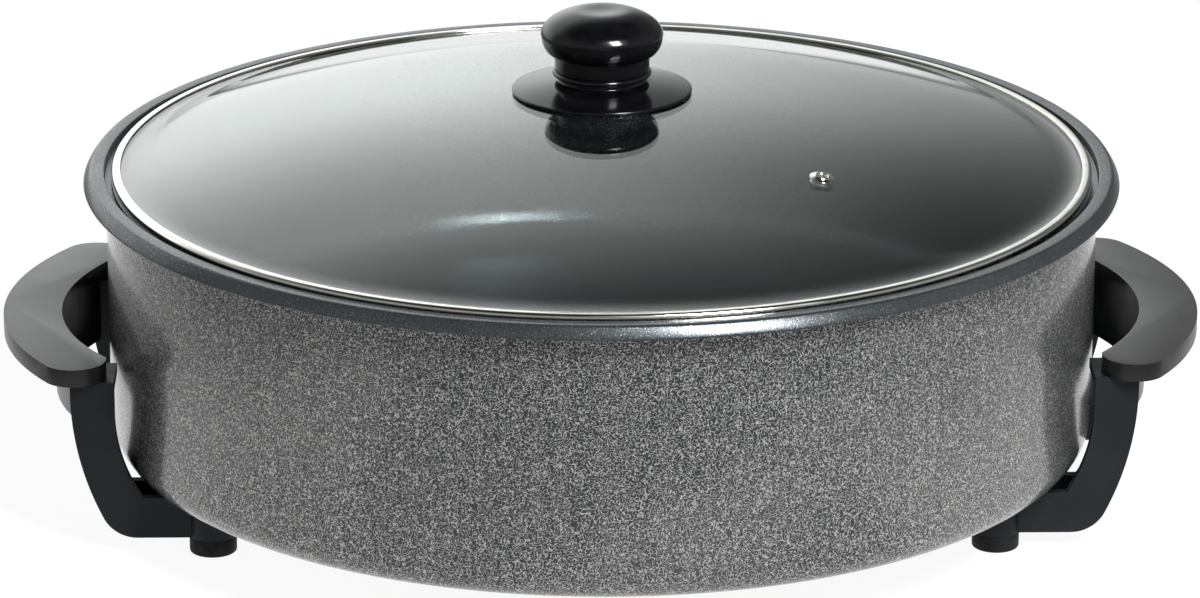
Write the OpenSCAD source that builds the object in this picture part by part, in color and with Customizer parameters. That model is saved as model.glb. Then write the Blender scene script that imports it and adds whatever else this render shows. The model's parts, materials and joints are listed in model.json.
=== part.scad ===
// Electric skillet: a round non-stick pan in a hammered outer shell, with a heater under its
// floor, two grips on four legs, a plug-in thermostat inlet and a loose domed glass lid.
// Millimetres. Origin on the table at the middle of the pan, +Z up, grips along X, front at -Y.

/* [Pan] */
// Inside diameter of the pan's wall
pan_bore_d = 390; // [340:5:440]
// Wall thickness of the pan
pan_t = 2.5; // [1.5:0.25:4]
// Depth from the lip's widest line down to the cooking floor
pan_depth = 89.5; // [70:0.5:110]
// Thickness of the pan's floor
floor_t = 3.5; // [2.5:0.5:6]
// Inside radius between the floor and the wall
pan_corner_r = 18; // [14:1:24]
// Width of the ledge that the lid rests on
seat_w = 6.5; // [5.5:0.5:8]
// Height of the ledge above the lip's widest line
seat_rise = 1; // [0.8:0.1:3]
// Radial width of the lip outside the ledge
lip_w = 8.5; // [6.5:0.5:12]
// Height of the lip's crown above its widest line
lip_rise = 4.6; // [4.4:0.1:8]
// Depth of the lip below its widest line
lip_drop = 0.6; // [0.5:0.1:3]

/* [Outer shell] */
// Air gap between the pan's wall and the shell
shell_gap = 2.7; // [1.5:0.1:4]
// Sheet thickness of the shell
shell_t = 0.8; // [0.6:0.1:2]
// Outside radius between the shell's wall and its bottom
shell_corner_r = 12; // [9:0.5:13]
// Width of the shell's flat bottom flange
flange_w = 39; // [37:1:45]
// Thickness of the seal between lip and shell
seal_t = 1; // [0.5:0.1:2]

/* [Lid] */
// Thickness of the tempered glass
glass_t = 4; // [3:0.5:6]
// Height of the dome above the glass's flat edge
dome_h = 30; // [15:0.5:40]
// Width of the flat edge of the glass
glass_edge_w = 8; // [5:0.5:12]
// Sheet thickness of the rim band
band_t = 0.6; // [0.5:0.1:1]
// How far the band folds over the top of the glass
band_fold_w = 3.2; // [2:0.2:5]
// Room between the band and the lip, on the radius
lid_clear = 3; // [2.5:0.25:4]
// How far the loose lid has slid towards the front in its seat
lid_drift = 2; // [0:0.25:2]
// Distance of the steam vent from the knob
vent_r = 120; // [80:1:150]
// Direction of the steam vent, from +X towards +Y
vent_angle = -45.5; // [-90:0.5:90]
// Diameter of the steam vent's hole
vent_hole_d = 3.5; // [2:0.1:4.5]
// Diameter of the steam vent's flange
vent_flange_d = 10; // [9.5:0.5:16]

/* [Knob] */
// Diameter of the knob's cap
knob_d = 49.8; // [44:0.2:60]
// Height of the cap above its widest line
knob_crown_h = 11.5; // [6:0.5:18]
// Height of the hollowed underside below the widest line
knob_under_h = 7.8; // [5:0.2:12]
// Diameter of the neck
knob_neck_d = 38.4; // [30:0.2:42]
// Height of the neck
knob_neck_h = 6.5; // [5:0.5:16]
// Diameter of the thumb hollow in the top
knob_hollow_d = 19; // [10:1:30]
// Depth of the thumb hollow
knob_hollow_h = 0.7; // [0.5:0.1:2]
// Diameter of the guard disc under the knob
disc_d = 73; // [60:1:90]
// Thickness of the guard disc's edge
disc_t = 1.2; // [1:0.1:3]
// Rise of the guard disc from its edge to its collar
disc_rise = 3.5; // [2:0.1:6]
// Height of the disc's waist below the collar
waist_h = 2; // [1:0.1:4]
// Height of the collar
collar_h = 2.3; // [2:0.1:5]
// How far the collar stands out from the neck
collar_proud = 0.9; // [0.4:0.1:2]

/* [Heater] */
// Diameter of the heat spreader disc
spreader_d = 300; // [270:5:310]
// Thickness of the heat spreader
spreader_t = 2.5; // [1.5:0.5:5]
// Diameter of the element's ring
ring_d = 220; // [200:5:236]
// Diameter of the element's sheath, and of the probe's guide tube
element_d = 6.5; // [5.5:0.25:8]
// Bend radius where the element's ends turn outwards
element_bend_r = 20; // [14:1:26]
// Thickness of the clamp cross
clamp_t = 1.2; // [1:0.1:2.5]
// Width of each arm of the clamp cross
clamp_w = 22; // [18:1:32]
// Reach of the clamp cross past the element's ring
clamp_over = 14; // [8:1:20]
// Diameter of the heat reflector
reflector_d = 280; // [250:5:290]
// Thickness of the heat reflector
reflector_t = 0.6; // [0.5:0.1:1]
// Distance of the clamp studs from the pan's middle
clamp_stud_r = 75; // [60:1:90]
// Diameter of the clamp studs and the tie studs
stud_d = 5; // [4:0.5:6]
// Room between the tie nuts and the base cover
tie_gap = 3.4; // [1:0.2:3.8]
// Free height left under the clamp nuts
chamber_spare = 2.2; // [1:0.1:6]

/* [Base] */
// Thickness of the mounting ring
ring_plate_t = 1.5; // [1.5:0.5:3]
// Thickness of the base cover
cover_t = 0.8; // [0.6:0.1:2]
// Overlap of the base cover on the shell's flange
cover_lap = 10; // [8:0.5:11]
// Number of screws that hold the base cover
cover_screws = 6; // [3:1:8]
// Diameter of the base screws
cover_screw_d = 3; // [2.5:0.25:3.5]
// Number of cooling slots in the base cover
cover_slots = 12; // [6:1:18]
// Length of the cooling slots
slot_l = 40; // [20:2:60]
// Width of the cooling slots
slot_w = 6; // [4:0.5:10]

/* [Legs] */
// Height of the feet
foot_h = 7; // [5:0.5:14]
// Diameter of the feet and of the posts over them
post_d = 19; // [17:0.5:22]
// Height of the legs' lower arms
arm_h = 17; // [15:0.5:24]
// Room between the arms and the shell's bottom
arm_gap = 2; // [1:0.5:6]
// Distance between the facing sides of a grip's two legs
legs_span = 104; // [92:2:112]
// Depth of each leg, front to back
leg_depth = 24; // [20:1:30]
// Width of each leg, seen from the front
leg_w = 17.5; // [14:0.5:22]
// How far the walls that face each other stand back from the shell
leg_back_in = 6; // [2:0.5:8]
// Wall thickness of the legs
leg_t = 4; // [3:0.5:5]
// Least room between the legs and the shell
leg_gap = 1.2; // [1:0.2:4]
// Outer radius of the legs' long bend
leg_bend_r = 120; // [100:1:140]
// Radius of the bend on the legs' inner side
leg_in_bend_r = 65; // [50:1:90]
// Radius of the legs' lower corner
leg_corner_r = 15; // [8:0.5:18]
// Height of the straight part under the grip
leg_straight = 4.8; // [2:0.2:10]
// Height of the straight part on the legs' inner side
leg_in_straight = 14; // [8:0.5:20]
// How far the flare under the grip stands out
leg_flare = 1.9; // [1:0.1:6]
// How far the posts stand out from the legs' outer sides
post_proud = 5.5; // [0:0.5:6]
// Distance of the posts' middles in from the shell's wall
post_inset = 28; // [25:0.5:29]
// Depth of the recess under each post, over its foot
recess_h = 10; // [8:0.5:12]
// Diameter of the leg screws
leg_screw_d = 5; // [4:0.5:6]

/* [Grips] */
// Depth of the grips' top face below the lip's widest line
grip_drop = 56.1; // [44:0.1:60]
// Thickness of the grips
grip_t = 7.2; // [6:0.2:12]
// Finger room between the shell and the middle of the grip
finger_gap = 19.3; // [16:0.1:26]
// Width of the grips at the middle
grip_w = 23.7; // [20:0.1:32]
// Radius of the grips' inner edge
grip_in_r = 112; // [108:1:118]
// Radius of the grips' outer edge
grip_out_r = 140; // [130:1:150]
// Radius of the grips' rounded ends
grip_end_r = 12.5; // [10:0.5:19]
// Reach of the grips to each side of their middle
grip_half_l = 81.5; // [78:0.5:84]
// Height of the finger guard, from the grip's top face
guard_h = 32.5; // [22:0.5:33]
// Thickness of the finger guard
guard_t = 3; // [2:0.5:5]
// Diameter of the grip screws
grip_screw_d = 3.8; // [3:0.2:4]

/* [Inlet] */
// Distance between the two contact pins
pin_pitch = 28; // [25:1:32]
// Diameter of the contact pins
pin_d = 4.8; // [4:0.1:6]
// Free length of the contact pins
pin_l = 18; // [10:1:19]
// Bore of the thermostat probe's guide tube
probe_bore_d = 5.2; // [3:0.1:5.2]
// Length of the thermostat probe's guide tube
probe_l = 72; // [50:1:75]
// Width of the inlet's housing past each contact pin
inlet_side = 13; // [12:0.5:18]
// Height of the inlet's mouth
inlet_h = 15.8; // [15:0.1:17]
// Wall thickness of the inlet's mouth
inlet_t = 2; // [1.5:0.25:2.5]
// How far the inlet stands out of the shell
inlet_proud = 10; // [6:0.5:16]
// Diameter of the ceramic insulators round the pins
insulator_d = 9; // [8:0.25:9]

/* [Hidden] */
$fn = 96;

// Clearances
fit = 0.25;         // round a stud or screw that passes through a plate
thread_fit = 0.05;  // round a threaded or pressed piece
body_gap = 0.3;     // between pieces that only lie near each other
cut = 1;            // how far a cutting solid reaches past a face
step = 0.01;        // overlap that joins two solids of one piece
joint_gap = 0.3;    // between the element's lengths, inside their sleeves
sleeve_l = 1.6;     // length of the element's sleeves
stud_end = 0.8;     // how far studs and leg screws stand out of their nuts

// Fasteners, as shares of the thread's or the head's diameter
nut_share = 0.92;   // radius of a nut over its corners
socket_share = 0.28; // radius of a screw's hexagon socket over its corners

// Radii, from the pan's bore outwards
pan_in_r = pan_bore_d / 2;
pan_out_r = pan_in_r + pan_t;
shell_in_r = pan_out_r + shell_gap;
shell_r = shell_in_r + shell_t;
seat_r = pan_in_r + seat_w;
lip_r = seat_r + lip_w;
flange_in_r = shell_r - shell_corner_r - flange_w;
cover_r = flange_in_r + cover_lap;
cover_screw_r = flange_in_r + cover_lap / 2;
ring_plate_r = shell_r - shell_corner_r - cut;
nut_r = nut_share * stud_d;
tie_stud_r = cover_r + nut_r + tie_gap;

// Heights, from the table upwards
nut_h = 0.64 * stud_d;
arm_z = foot_h;
arm_top = arm_z + arm_h;
base_z = arm_top + arm_gap;
flange_top = base_z + shell_t;
ring_top = flange_top + ring_plate_t;
sleeve_r = element_d / 2 + 0.1;
chamber_h = chamber_spare + nut_h + reflector_t + clamp_t + 2 * sleeve_r + spreader_t;
pan_under_z = flange_top + chamber_h;
spreader_z = pan_under_z - spreader_t;
element_z = spreader_z - sleeve_r;
clamp_z = element_z - sleeve_r - clamp_t;
reflector_z = clamp_z - reflector_t;
floor_z = pan_under_z + floor_t;
rim_z = floor_z + pan_depth;
seat_z = rim_z + seat_rise;
shell_top = rim_z - lip_drop - seal_t;

// Points of an arc about [cx, cy], for polygons
function arc(cx, cy, r, a0, a1, n = 12) =
    [for (i = [0:n]) let (a = a0 + (a1 - a0) * i / n) [cx + r * cos(a), cy + r * sin(a)]];
// Points of a quarter of an ellipse
function oval(cx, cy, rx, ry, a0, a1, n = 8) =
    [for (i = [0:n]) let (a = a0 + (a1 - a0) * i / n) [cx + rx * cos(a), cy + ry * sin(a)]];

// Places
clamp_angles = [45, 135, 225, 315];
tie_angles = [60, 120, 240, 300];
cover_angles = [for (i = [0:cover_screws - 1]) 360 * (i + 0.5) / cover_screws];

// Legs and posts, for the leg at +X and -Y
leg_in_y = legs_span / 2;
leg_out_y = leg_in_y + leg_depth;
leg_mid_y = leg_in_y + leg_depth / 2;
leg_in_x = sqrt(pow(shell_r + leg_gap, 2) - pow(leg_in_y, 2));
leg_out_x = leg_in_x + leg_w;
post_r = post_d / 2;
post_y = leg_out_y - post_r + post_proud;
post_x = sqrt(pow(shell_r - post_inset, 2) - pow(post_y, 2));
leg_bore_r = leg_screw_d / 2 + fit;
leg_head_d = 1.8 * leg_screw_d;
leg_head_h = 0.7 * leg_screw_d;
leg_nut_h = 0.8 * leg_screw_d;
washer_t = 1;
post_recess = min(recess_h, arm_h - leg_t);
spigot_h = post_recess - washer_t - leg_head_h - body_gap;
spigot_r = post_r - leg_t;
grip_top = rim_z - grip_drop;
grip_z = grip_top - grip_t;
bend_cx = leg_out_x - leg_bend_r;
bend_cz = grip_z - leg_straight;
in_bend_cx = leg_in_x - leg_in_bend_r;
in_bend_cz = grip_z - leg_in_straight;
corner_cz = arm_z + leg_corner_r;
corner_cx = bend_cx + sqrt(pow(leg_bend_r - leg_corner_r, 2) - pow(bend_cz - corner_cz, 2));
corner_a = atan2(corner_cz - bend_cz, corner_cx - bend_cx);
arm_in_a = -asin((in_bend_cz - arm_top) / leg_in_bend_r);

// Grips, for the one at +X
grip_in_cx = shell_r + finger_gap - grip_in_r;
grip_out_cx = shell_r + finger_gap + grip_w - grip_out_r;
end_cy = grip_half_l - grip_end_r;
end_cx = grip_out_cx + sqrt(pow(grip_out_r - grip_end_r, 2) - pow(end_cy, 2));
end_a = atan2(end_cy, end_cx - grip_out_cx);
grip_screw_x = leg_out_x - leg_t - grip_screw_d - 0.5;
grip_bite = grip_t - 2;
grip_head_h = 3;

// Inlet
inlet_z = ring_top;
inlet_w = pin_pitch + 2 * inlet_side;
inlet_top = inlet_z + inlet_h;
pan_corner_out_r = pan_corner_r + pan_t;
pan_corner_cz = pan_under_z + pan_corner_out_r;
mouth_in_x = pan_out_r - pan_corner_out_r + body_gap
    + sqrt(pow(pan_corner_out_r, 2) - pow(pan_corner_cz - inlet_top - body_gap, 2));
mouth_x = shell_r + inlet_proud;
block_l = 16;
block_x = ring_plate_r - block_l;
block_top = pan_under_z - 2 * body_gap;
inlet_wall_x = mouth_in_x + inlet_t;
insulator_in = 7;
insulator_x = block_x - insulator_in;
insulator_end = inlet_wall_x + 1;
inlet_screw_d = 3;
inlet_screw_room = 3.5;
inlet_screw_y = (pin_pitch + insulator_d) / 2 + inlet_screw_room;
inlet_screw_x = block_x + block_l / 2;
inlet_head_z = inlet_z + 6;
strip_w = 10;
strip_t = 0.8;
strip_in = 12;
strip_end_x = mouth_x - 2;
strip_in_x = block_x - strip_in;
earth_screw_x = block_x - strip_in / 2;
pin_neck_r = pin_d / 2 - 0.4;

// Lid, before it drifts in its seat
band_r = seat_r - lid_clear;
band_z = seat_z + body_gap;
glass_r = band_r - band_t;
glass_z = band_z + band_t;
glass_top = glass_z + glass_t;
dome_r = glass_r - glass_edge_w;
sphere_r = (dome_r * dome_r + dome_h * dome_h) / (2 * dome_h);
sphere_z = glass_top + dome_h - sphere_r;
apex_z = glass_top + dome_h;
function glass_at(r) = sphere_z + sqrt(sphere_r * sphere_r - r * r);
function under_at(r) = sphere_z + sqrt(pow(sphere_r - glass_t, 2) - r * r);
vent_tilt = asin(vent_r / sphere_r);

// Knob
knob_bolt_d = 4;
glass_hole_r = knob_bolt_d / 2 + 1;
gasket_r = 11;
gasket_t = 0.8;
disc_r = disc_d / 2;
disc_lift = 0.2;
disc_edge_z = glass_at(disc_r) + disc_lift;
disc_top = disc_edge_z + disc_t + disc_rise;
disc_seat_z = apex_z + gasket_t;
neck_r = knob_neck_d / 2;
waist_r = neck_r - 1.4;
collar_z = disc_top + waist_h;
knob_z = collar_z + collar_h;
under_z = knob_z + knob_neck_h;
cap_z = under_z + knob_under_h;
insert_r = 4.4;
insert_h = 13;
lid_washer_r = 9;
lid_washer_t = 1;
lid_seal_t = 1.5;
lid_seal_z = under_at(lid_washer_r) - lid_seal_t - thread_fit;
knob_head_h = 3;

// ---------- shared shapes ----------

// Copies at the given angles, each moved out along X
module around(angles, r) {
    for (a = angles) rotate(a) translate([r, 0, 0]) children();
}

// One copy over each of the four feet
module at_posts() {
    for (sx = [-1, 1], sy = [-1, 1]) translate([sx * post_x, sy * post_y, 0]) children();
}

// Extrudes an outline drawn in X and Z from y0 to y1
module slab(y0, y1) {
    translate([0, y1, 0]) rotate([90, 0, 0]) linear_extrude(height = y1 - y0) children();
}

module tube(r_out, r_in, h) {
    difference() {
        cylinder(r = r_out, h = h);
        translate([0, 0, -cut]) cylinder(r = r_in, h = h + 2 * cut);
    }
}

// Hexagon nut standing on z = 0
module nut(d, h) {
    difference() {
        cylinder(r = nut_share * d, h = h, $fn = 6);
        translate([0, 0, -cut]) cylinder(r = d / 2 + thread_fit, h = h + 2 * cut);
    }
}

// Screw with its head below z = 0 and its shank above
module screw(d, l, head_d, head_h) {
    translate([0, 0, -step]) cylinder(r = d / 2, h = l + step);
    difference() {
        translate([0, 0, -head_h]) cylinder(r = head_d / 2, h = head_h);
        translate([0, 0, -head_h - step]) cylinder(r = socket_share * head_d, h = head_h / 2, $fn = 6);
    }
}

// Bore along X from x0 to x1 at the height of the pins
module x_rod(x0, x1, y, z, r) {
    translate([x0, y, z]) rotate([0, 90, 0]) cylinder(r = r, h = x1 - x0);
}

module lid_place() {
    translate([0, -lid_drift, 0]) children();
}

// ---------- pan and shell ----------

lip_round = 0.72;   // rounded share of the lip's width
lip_edge_r = 0.5;   // radius of the lip's inner edge
seat_edge_r = 1;    // radius of the ledge's inner edge
pan_profile = concat(
    [[0, pan_under_z]],
    arc(pan_out_r - pan_corner_out_r, pan_corner_cz, pan_corner_out_r, -90, 0),
    [[pan_out_r, rim_z - lip_drop]],
    oval(lip_r - lip_drop, rim_z, lip_drop, lip_drop, -90, 0),
    oval(lip_r - lip_w * lip_round, rim_z, lip_w * lip_round, lip_rise, 8, 90),
    oval(seat_r + lip_edge_r, rim_z + lip_rise - lip_edge_r, lip_edge_r, lip_edge_r, 90, 180, 4),
    [[seat_r, seat_z]],
    oval(pan_in_r + seat_edge_r, seat_z - seat_edge_r, seat_edge_r, seat_edge_r, 90, 180, 4),
    arc(pan_in_r - pan_corner_r, floor_z + pan_corner_r, pan_corner_r, 0, -90),
    [[0, floor_z]]
);

module inner_pan() {
    color("#3a3d3c") rotate_extrude() polygon(pan_profile);
}

shell_profile = concat(
    [[flange_in_r, base_z]],
    arc(shell_r - shell_corner_r, base_z + shell_corner_r, shell_corner_r, -90, 0),
    [[shell_r, shell_top], [shell_in_r, shell_top]],
    arc(shell_r - shell_corner_r, base_z + shell_corner_r, shell_corner_r - shell_t, 0, -90),
    [[flange_in_r, flange_top]]
);

module outer_shell() {
    color("#6b6b6a") difference() {
        rotate_extrude() polygon(shell_profile);
        translate([block_x, -inlet_w / 2 - body_gap, inlet_z - body_gap])
            cube([mouth_x - block_x, inlet_w + 2 * body_gap, inlet_h + 2 * body_gap]);
        translate([0, 0, base_z - cut]) {
            at_posts() cylinder(r = leg_bore_r, h = shell_t + 2 * cut);
            around(tie_angles, tie_stud_r) cylinder(r = stud_d / 2 + fit, h = shell_t + 2 * cut);
            around(cover_angles, cover_screw_r)
                cylinder(r = cover_screw_d / 2 + fit, h = shell_t + 2 * cut);
        }
    }
}

module rim_seal() {
    over = 0.4;
    color("#1c1c1c") translate([0, 0, shell_top]) tube(shell_r + over, shell_in_r - over, seal_t);
}

// ---------- heater ----------

module heat_spreader() {
    color("silver") translate([0, 0, spreader_z]) difference() {
        cylinder(d = spreader_d, h = spreader_t);
        translate([0, 0, -cut]) around(clamp_angles, clamp_stud_r)
            cylinder(r = stud_d / 2 + fit, h = spreader_t + 2 * cut);
    }
}

// A brazed sleeve over a joint of the element, along Y
module sleeve() {
    rotate([90, 0, 0]) cylinder(r = sleeve_r, h = sleeve_l, center = true);
}

module heating_element() {
    ring_r = ring_d / 2;
    end_y = pin_pitch / 2;
    bend_y = end_y + element_bend_r;
    bend_x = sqrt(pow(ring_r + element_bend_r, 2) - pow(bend_y, 2));
    gap_a = atan2(bend_y, bend_x);
    ring_trim = joint_gap / ring_r * 180 / PI;
    bend_trim = joint_gap / element_bend_r * 180 / PI;
    color("#8c8f90") translate([0, 0, element_z]) {
        rotate(gap_a + ring_trim) rotate_extrude(angle = 360 - 2 * (gap_a + ring_trim))
            translate([ring_r, 0]) circle(d = element_d);
        for (side = [0, 1]) mirror([0, side, 0]) {
            rotate(gap_a) translate([ring_r, 0, 0]) sleeve();
            translate([bend_x, bend_y, 0]) rotate(180 + gap_a + bend_trim)
                rotate_extrude(angle = 90 - gap_a - 2 * bend_trim)
                    translate([element_bend_r, 0]) circle(d = element_d);
            translate([bend_x, end_y, 0]) rotate(90) sleeve();
            x_rod(bend_x + joint_gap, insulator_x, end_y, 0, element_d / 2);
        }
    }
}

module element_clamp() {
    arm_l = ring_d / 2 + clamp_over;
    color("#b5b5b0") translate([0, 0, clamp_z]) difference() {
        for (a = clamp_angles) rotate(a) translate([0, -clamp_w / 2, 0])
            cube([arm_l, clamp_w, clamp_t]);
        translate([0, 0, -cut]) around(clamp_angles, clamp_stud_r)
            cylinder(r = stud_d / 2 + fit, h = clamp_t + 2 * cut);
    }
}

module clamp_studs() {
    low = reflector_z - nut_h - stud_end;
    color("#b9bcbe") translate([0, 0, low]) around(clamp_angles, clamp_stud_r)
        cylinder(d = stud_d, h = pan_under_z - low);
}

module clamp_nuts() {
    color("#b9bcbe") translate([0, 0, reflector_z - nut_h])
        around(clamp_angles, clamp_stud_r) nut(stud_d, nut_h);
}

module heat_reflector() {
    color("#d8dadb") translate([0, 0, reflector_z]) difference() {
        cylinder(d = reflector_d, h = reflector_t);
        translate([0, 0, -cut]) around(clamp_angles, clamp_stud_r)
            cylinder(r = stud_d / 2 + fit, h = reflector_t + 2 * cut);
    }
}

// ---------- base ----------

module mounting_ring() {
    h = ring_plate_t + 2 * cut;
    color("#9a9d9f") translate([0, 0, flange_top]) difference() {
        tube(ring_plate_r, flange_in_r, ring_plate_t);
        translate([0, 0, -cut]) {
            at_posts() cylinder(r = leg_bore_r, h = h);
            around(tie_angles, tie_stud_r) cylinder(r = stud_d / 2 + fit, h = h);
            around(cover_angles, cover_screw_r) cylinder(r = cover_screw_d / 2 + thread_fit, h = h);
            for (s = [-1, 1]) translate([inlet_screw_x, s * inlet_screw_y, 0])
                cylinder(r = inlet_screw_d / 2 + thread_fit, h = h);
            translate([earth_screw_x, 0, 0]) cylinder(r = inlet_screw_d / 2 + thread_fit, h = h);
        }
    }
}

module tie_studs() {
    low = base_z - nut_h - stud_end;
    color("#b9bcbe") translate([0, 0, low]) around(tie_angles, tie_stud_r)
        cylinder(d = stud_d, h = pan_under_z - low);
}

module tie_nuts() {
    color("#b9bcbe") translate([0, 0, base_z - nut_h])
        around(tie_angles, tie_stud_r) nut(stud_d, nut_h);
}

module base_cover() {
    h = cover_t + 2 * cut;
    slot_margin = 30;
    slot_r = flange_in_r - slot_margin - slot_l;
    color("#4a4d4e") translate([0, 0, base_z - cover_t]) difference() {
        cylinder(r = cover_r, h = cover_t);
        translate([0, 0, -cut]) {
            around(cover_angles, cover_screw_r) cylinder(r = cover_screw_d / 2 + fit, h = h);
            for (i = [0:cover_slots - 1]) rotate(360 * i / cover_slots) {
                translate([slot_r, -slot_w / 2, 0]) cube([slot_l, slot_w, h]);
                for (x = [slot_r, slot_r + slot_l]) translate([x, 0, 0]) cylinder(d = slot_w, h = h);
            }
        }
    }
}

module base_screws() {
    head_h = 1.8;
    through = 2;
    color("#c4c6c8") translate([0, 0, base_z - cover_t]) around(cover_angles, cover_screw_r)
        screw(cover_screw_d, cover_t + shell_t + ring_plate_t + through, 2 * cover_screw_d, head_h);
}

// ---------- grips ----------

grip_ends = arc(end_cx, end_cy, grip_end_r, end_a, 180);
grip_outline = concat(
    arc(grip_out_cx, 0, grip_out_r, -end_a, end_a, 24),
    grip_ends,
    [for (i = [len(grip_ends) - 1:-1:0]) [grip_ends[i][0], -grip_ends[i][1]]]
);

module grip() {
    guard_y = leg_in_y - body_gap;
    guard_z = grip_top - guard_h;
    difference() {
        union() {
            translate([0, 0, grip_z]) linear_extrude(height = grip_t) polygon(grip_outline);
            intersection() {
                translate([grip_in_cx, 0, guard_z])
                    cylinder(r = grip_in_r + guard_t, h = guard_h - grip_t / 2);
                translate([grip_in_cx + grip_in_r / 2, -guard_y, guard_z - cut])
                    cube([grip_in_r, 2 * guard_y, guard_h]);
            }
        }
        translate([grip_in_cx, 0, guard_z - cut]) cylinder(r = grip_in_r, h = guard_h + 2 * cut);
        for (s = [-1, 1]) translate([grip_screw_x, s * leg_mid_y, grip_z - cut])
            cylinder(r = grip_screw_d / 2 + thread_fit, h = grip_bite + cut);
    }
}

module left_handle() {
    color("#2b2d2e") mirror([1, 0, 0]) grip();
}

module right_handle() {
    color("#2b2d2e") grip();
}

module handle_screws() {
    color("#c4c6c8") for (sx = [-1, 1], sy = [-1, 1])
        translate([sx * grip_screw_x, sy * leg_mid_y, grip_z - leg_t])
            screw(grip_screw_d, leg_t + grip_bite - body_gap, 2 * grip_screw_d, grip_head_h);
}

// ---------- legs and feet ----------

leg_outline = concat(
    [[leg_out_x, grip_z]],
    arc(bend_cx, bend_cz, leg_bend_r, 0, corner_a, 16),
    arc(corner_cx, corner_cz, leg_corner_r, corner_a, -90, 10),
    [[post_x, arm_z], [post_x, arm_top]],
    arc(in_bend_cx, in_bend_cz, leg_in_bend_r, arm_in_a, 0, 16),
    [[leg_in_x, grip_z]]
);

leg_hollow = concat(
    [[leg_out_x - leg_t, grip_z - leg_t]],
    arc(bend_cx, bend_cz, leg_bend_r - leg_t, 0, corner_a, 16),
    arc(corner_cx, corner_cz, leg_corner_r - leg_t, corner_a, -90, 10),
    [
        [post_x + post_r, arm_z + leg_t],
        [post_x + post_r, grip_z - leg_t],
    ]
);

leg_back_room = concat(
    [[post_x, arm_top]],
    arc(in_bend_cx + leg_back_in, in_bend_cz, leg_in_bend_r, arm_in_a, 0, 16),
    [[leg_in_x + leg_back_in, grip_z - leg_t], [post_x, grip_z - leg_t]]
);

flare_h = 2 * leg_flare;
flare_outline = concat(
    [[leg_out_x - step, grip_z]],
    oval(leg_out_x + leg_flare, grip_z - flare_h, leg_flare, flare_h, 90, 180),
    [[leg_out_x - step, grip_z - flare_h]]
);

// Room round the shell that the legs keep clear of
module shell_room() {
    rotate_extrude() polygon(concat(
        [[0, base_z - body_gap]],
        arc(shell_r - shell_corner_r, base_z + shell_corner_r, shell_corner_r + body_gap, -90, 0),
        [[shell_r + body_gap, shell_top], [0, shell_top]]
    ));
}

// The leg at +X and -Y
module leg() {
    difference() {
        union() {
            difference() {
                slab(-leg_out_y, -leg_in_y) polygon(leg_outline);
                shell_room();
            }
            slab(-leg_out_y + leg_t, -leg_in_y - leg_t) polygon(flare_outline);
            translate([post_x, -post_y, arm_z]) cylinder(r = post_r, h = base_z - arm_z);
        }
        slab(-leg_out_y + leg_t, -leg_in_y - leg_t) polygon(leg_hollow);
        slab(-leg_in_y - leg_t - step, -leg_in_y + cut) polygon(leg_back_room);
        translate([grip_screw_x, -leg_mid_y, grip_z - leg_t - cut])
            cylinder(r = grip_screw_d / 2 + fit, h = leg_t + 2 * cut);
        translate([post_x, -post_y, arm_z - cut]) {
            cylinder(r = leg_bore_r, h = base_z - arm_z + 2 * cut);
            cylinder(r = spigot_r + thread_fit, h = post_recess + cut);
        }
    }
}

module placed_leg(sx, sy) {
    color("#232627") scale([sx, -sy, 1]) leg();
}

module left_front_leg() placed_leg(-1, -1);
module left_rear_leg() placed_leg(-1, 1);
module right_front_leg() placed_leg(1, -1);
module right_rear_leg() placed_leg(1, 1);

module leg_screws() {
    z = arm_z + post_recess - washer_t;
    color("#c4c6c8") translate([0, 0, z]) at_posts()
        screw(leg_screw_d, ring_top + leg_nut_h + stud_end - z, leg_head_d, leg_head_h);
}

module leg_washers() {
    color("#c4c6c8") translate([0, 0, arm_z + post_recess - washer_t]) at_posts()
        tube(leg_head_d / 2 + body_gap, leg_bore_r, washer_t);
}

module leg_nuts() {
    color("#b9bcbe") translate([0, 0, ring_top]) at_posts() nut(leg_screw_d, leg_nut_h);
}

module foot(sx, sy) {
    edge = 0.8;
    color("#17191a") translate([sx * post_x, sy * post_y, 0]) rotate_extrude() polygon([
        [0, 0], [post_r - edge, 0], [post_r, edge], [post_r, foot_h],
        [spigot_r, foot_h], [spigot_r, foot_h + spigot_h], [0, foot_h + spigot_h],
    ]);
}

module left_front_foot() foot(-1, -1);
module left_rear_foot() foot(-1, 1);
module right_front_foot() foot(1, -1);
module right_rear_foot() foot(1, 1);

// ---------- inlet for the plug-in thermostat ----------

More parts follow.
